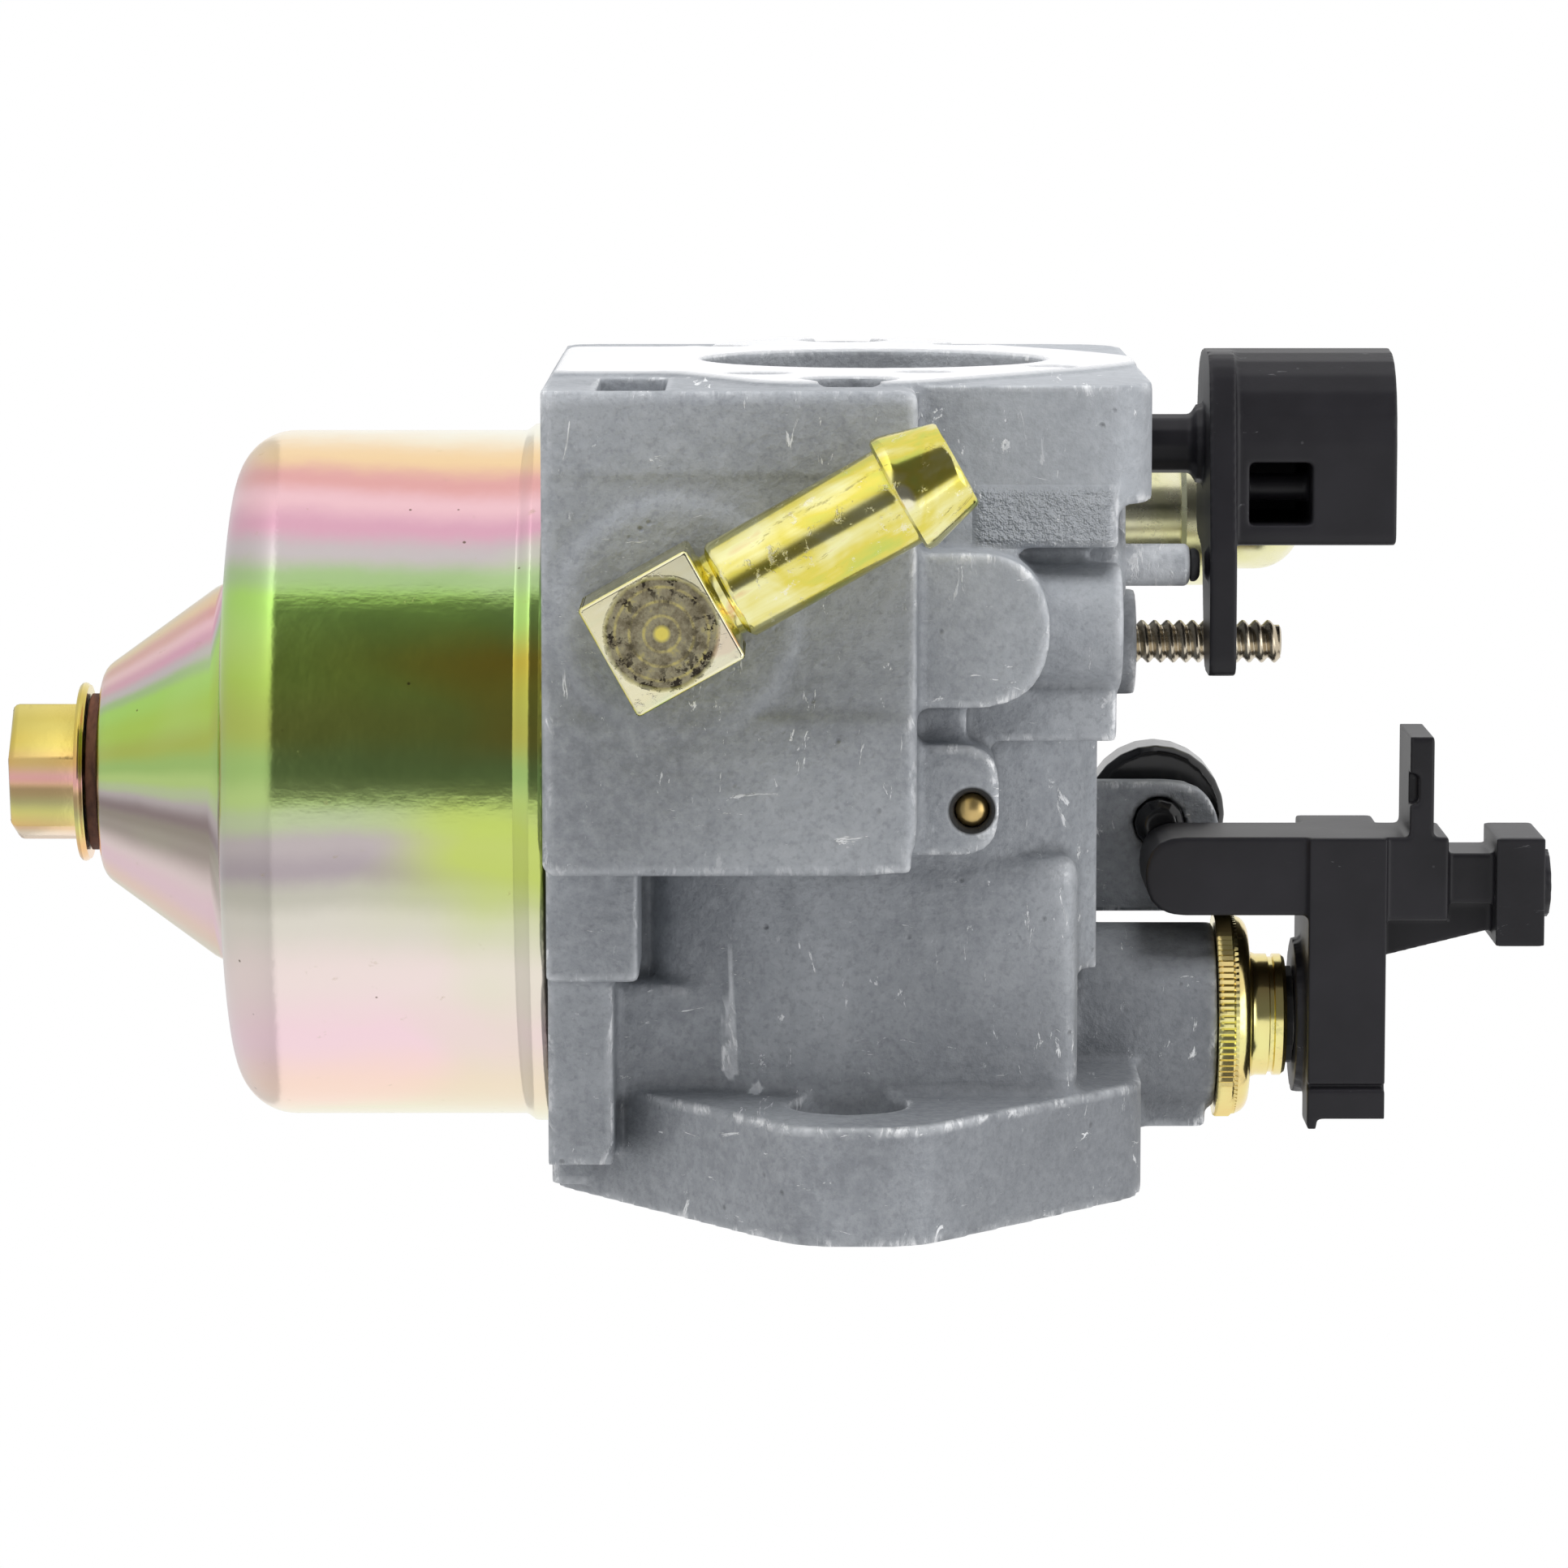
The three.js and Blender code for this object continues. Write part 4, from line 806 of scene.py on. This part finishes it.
def knurledCap():
    low, high = boxOf("throttle_shaft_cap")
    centre = (low + high) / 2
    radius = (high.x - low.x) / 2 / mm
    base, top = low.z / mm, high.z / mm
    bore, neck, waist = cap["bore"], cap["neck"], cap["groove"]
    profile = [(bore, base), (radius - 0.1, base), (radius, base + 0.15), (radius, base + 0.7),
               (radius, base + 1.2), (radius - 0.15, base + 1.35),
               *arcPoints(radius - 1.5, base + 1.35, 1.3, 0, 75, 6), (neck + 0.75, base + 2.75),
               (neck + 0.15, base + 2.95), (neck, base + 3.3), (neck, top - 1.4), (waist, top - 1.3),
               (waist, top - 1.0), (neck, top - 0.9), (neck, top - 0.3), (waist, top), (bore, top),
               (bore, base)]
    piece = turnedPiece("knurledCap", profile, (centre.x, centre.y, 0), "z", knurls["count"] * 2)
    editMode(piece)

    def groove(vertex):
        x, y = vertex.co.x - centre.x, vertex.co.y - centre.y
        if math.hypot(x, y) < (radius - knurls["band"]) * mm or vertex.co.z > (base + knurls["height"]) * mm:
            return False
        return round(math.atan2(y, x) / math.tau * knurls["count"] * 2) % 2 == 0

    # every other vertex of the rim moves in, which leaves the knurls standing
    pick(piece, "VERT", groove)
    inward = knurls["depth"]
    bpy.ops.transform.resize(value=(inward, inward, 1), center_override=(centre.x, centre.y, 0))
    objectMode()
    smoothByAngle(piece, 30)
    return finishPiece(piece, "casting", "gold_plate", goldFinish, "throttle_shaft_cap")


thread = {"pitch": 1.0, "crest": 1.7, "root": 1.3, "sink": 0.02, "steps": 40}


def threadedStud():
    low, high = boxOf("cover_stud")
    centre = (low + high) / 2
    # one turn of a thread's outline wound up round a plain core
    pitch, crest, root, sink, steps = (thread[k] for k in ("pitch", "crest", "root", "sink", "steps"))
    base, top = low.z / mm, high.z / mm
    turns = int((high.z - low.z) / mm / pitch) - 1
    start = top - pitch * (turns + 1)
    outline = [(root, 0), (root + 0.06, 0.1), (crest - 0.12, 0.3), (crest, 0.45), (crest - 0.02, 0.6),
               (crest - 0.14, 0.74), (root + 0.05, 0.92), (root, pitch)]
    piece = drawnLine("threadedStud", [(radius, start + height) for radius, height in outline])
    objectMode()
    applyModifier(piece, "SCREW", steps=steps, render_steps=steps, angle=math.tau, iterations=turns,
                  screw_offset=pitch * mm, axis="Z")
    editMode(piece, "EDGE")
    bpy.ops.mesh.select_all(action="SELECT")
    bpy.ops.mesh.remove_doubles(threshold=0.004 * mm)
    bpy.ops.mesh.select_all(action="DESELECT")
    bpy.ops.mesh.select_non_manifold(extend=False)
    bpy.ops.mesh.fill_holes(sides=0)
    bpy.ops.mesh.select_all(action="SELECT")
    bpy.ops.mesh.normals_make_consistent(inside=False)
    objectMode()
    piece.data.transform(Matrix.Translation((centre.x, centre.y, 0)))
    core = [(0, base), (root + sink, base), (root + sink, top - 0.15), (root - 0.2, top - sink),
            (0, top - sink)]
    joinPieces(piece, [turnedPiece("studCore", core, (centre.x, centre.y, 0), "z", steps)])
    smoothByAngle(piece, 35)
    return finishPiece(piece, "casting", "steel", studFinish, "cover_stud")


leverCuts = {"axis": 23.1, "depth": 0.5, "bar": (35.1, 41.2), "block": 46.2, "armEdge": -8,
             "groove": (4.3, 4.75), "past": 1}


def throttleLeverPiece():
    # the crossbar stands a little proud of the arm, and a groove marks off its foot
    low, high = boxOf("throttle_lever")
    axis, front = low.x / mm + leverCuts["axis"], low.y / mm
    back = front + leverCuts["depth"]
    barStart, barEnd = leverCuts["bar"]
    grooveStart, grooveEnd = leverCuts["groove"]
    past = leverCuts["past"]
    arm, top, outside = axis + leverCuts["armEdge"], low.x / mm - past, front - past
    cuts = [((top, outside, low.z / mm - past), (arm, back, barStart)),
            ((top, outside, barEnd), (arm, back, leverCuts["block"])),
            ((axis + grooveStart, outside, barStart - past), (axis + grooveEnd, back, barEnd + past))]
    mouldedCopy("throttle_lever", "throttleLever", "throttle", "black_plastic", plasticFinish, 0.2, cuts=cuts)


knurledCap()
threadedStud()
mouldedCopy("choke_lever", "chokeLever", "choke", "black_plastic", plasticFinish, 0.2)
throttleLeverPiece()
mouldedCopy("throttle_stop_screw", "stopScrewKnob", "stop_screw", "black_plastic", glossFinish, 0.16,
            rounds=6)
roundedCopy("throttle_shaft", "throttleShaft", "throttle", "steel", steelFinish, 0.15)
roundedCopy("choke_detent_post", "detentPost", "casting", "casting", castFinish, 0.15)
roundedCopy("choke_detent_tip", "detentTip", "casting", "rubber", rubberFinish, 0.15)
roundedCopy("passage_plug", "passagePlug", "casting", "brass", brassFinish, 0.1)
roundedCopy("pilot_jet", "pilotJet", "casting", "brass", brassFinish, 0.12)
roundedCopy("welch_plug", "welchPlug", "casting", "brass", brassFinish, 0.12)
roundedCopy("choke_plate", "chokePlate", "choke", "steel", steelFinish, 0.15)
roundedCopy("throttle_plate", "throttlePlate", "throttle", "brass", brassFinish, 0.15)
print("levers and shafts made")

# the pieces that stay inside keep their frame shape and get a finish of their own
insideFinishes = {
    "bowl_gasket": rubberFinish, "choke_shaft_seal": rubberFinish, "throttle_shaft_seal": rubberFinish,
    "needle_seat": brassFinish, "float_needle": brassFinish, "main_jet": brassFinish,
    "emulsion_tube": brassFinish, "float_pin": steelFinish, "throttle_plate_screw": steelFinish,
    "float": foamFinish,
}
for node, finish in insideFinishes.items():
    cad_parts[node].data.materials.clear()
    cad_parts[node].data.materials.append(finish)

studio = {
    "world": 1.0, "fill": 0.62, "key": 5.0, "keySize": (0.35, 0.35), "side": 1.2, "sideSize": (0.5, 0.5),
    # the card's grey, the directions it spans above and below the view, its distance and its width
    "card": 0.16, "cardTop": 59, "cardBottom": -10, "cardReach": 1.1, "cardWidth": 1.6,
    "floor": 0.93, "floorDrop": 0.09, "floorRadius": 0.62}
view = {"aim": Vector((-0.0302, 0, -0.00606)), "distance": 0.516, "side": 7.06, "lens": 149.07}


def makeCamera():
    side = math.radians(view["side"])
    right = Vector((0, 0, 1))
    up = Vector((-math.cos(side), math.sin(side), 0))
    back = Vector((-math.sin(side), -math.cos(side), 0))
    bpy.ops.object.camera_add(location=view["aim"] + back * view["distance"])
    camera = bpy.context.object
    camera.rotation_mode = "QUATERNION"
    camera.rotation_quaternion = Matrix((right, up, back)).transposed().to_quaternion()
    camera.data.lens = view["lens"]
    camera.data.sensor_width = 36
    bpy.context.scene.camera = camera
    return right, up, back


def softbox(name, place, size, power, aim):
    bpy.ops.object.light_add(type="AREA", location=place)
    lamp = bpy.context.object
    lamp.name = name
    lamp.data.shape = "RECTANGLE"
    lamp.data.size, lamp.data.size_y = size
    lamp.data.energy = power
    lamp.rotation_mode = "QUATERNION"
    lamp.rotation_quaternion = (aim - place).to_track_quat("-Z", "Y")
    lamp.visible_camera = False
    return lamp


def darkCard(name, centre, right, up, width, height):
    # a dark card that only reflections show, for the deep bands in the plated pieces
    deselectAll()
    bpy.ops.mesh.primitive_plane_add(size=1)
    card = bpy.context.object
    card.name = name
    normal = right.cross(up)
    turn = Matrix((right * width, up * height, normal)).transposed().to_4x4()
    card.data.transform(Matrix.Translation(centre) @ turn)
    black = Finish(name + "Black")
    black.set(Base_Color=(studio["card"],) * 3, Roughness=1.0)
    card.data.materials.append(black.material)
    card.visible_camera = False
    card.visible_shadow = False
    card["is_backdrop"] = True
    return card


def makeStudio():
    right, up, back = makeCamera()
    world = bpy.data.worlds.new("studioWorld")
    world.use_nodes = True
    nodes, links = world.node_tree.nodes, world.node_tree.links
    background = nodes["Background"]
    background.inputs["Color"].default_value = (1, 1, 1, 1)
    # the white surround lights dull surfaces a little less than shiny ones
    rays = nodes.new("ShaderNodeLightPath")
    strength = nodes.new("ShaderNodeMapRange")
    strength.inputs["To Min"].default_value = studio["world"]
    strength.inputs["To Max"].default_value = studio["fill"]
    links.new(rays.outputs["Is Diffuse Ray"], strength.inputs["Value"])
    links.new(strength.outputs["Result"], background.inputs["Strength"])
    scene = bpy.context.scene
    scene.world = world
    scene.view_settings.view_transform = "Standard"
    aim = view["aim"]
    keyPlace = aim + up * 0.68 + back * 0.4 + right * 0.12
    softbox("keyBox", keyPlace, studio["keySize"], studio["key"], aim).visible_glossy = False
    softbox("sideBox", aim + right * 0.75 + back * 0.45, studio["sideSize"], studio["side"], aim)
    # the card spans the directions that the middle of the bowl reflects
    angleFrom, angleTo = math.radians(studio["cardTop"]), math.radians(studio["cardBottom"])
    reach = studio["cardReach"]
    first = back * math.cos(angleFrom) + up * math.sin(angleFrom)
    last = back * math.cos(angleTo) + up * math.sin(angleTo)
    across = (first - last).normalized()
    middle = aim + (first + last) / 2 * reach
    darkCard("studioCard", middle, right, across, studio["cardWidth"], (first - last).length * reach)
    low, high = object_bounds()
    deselectAll()
    place = ((low.x + high.x) / 2, 0, low.z - studio["floorDrop"])
    bpy.ops.mesh.primitive_circle_add(vertices=96, radius=studio["floorRadius"], fill_type="NGON",
                                      location=place)
    floor = bpy.context.object
    floor.name = "paleFloor"
    paint = Finish("floorPaint")
    paint.set(Base_Color=(studio["floor"],) * 3, Roughness=0.9)
    floor.data.materials.append(paint.material)
    floor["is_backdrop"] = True


makeStudio()
print("studio made")
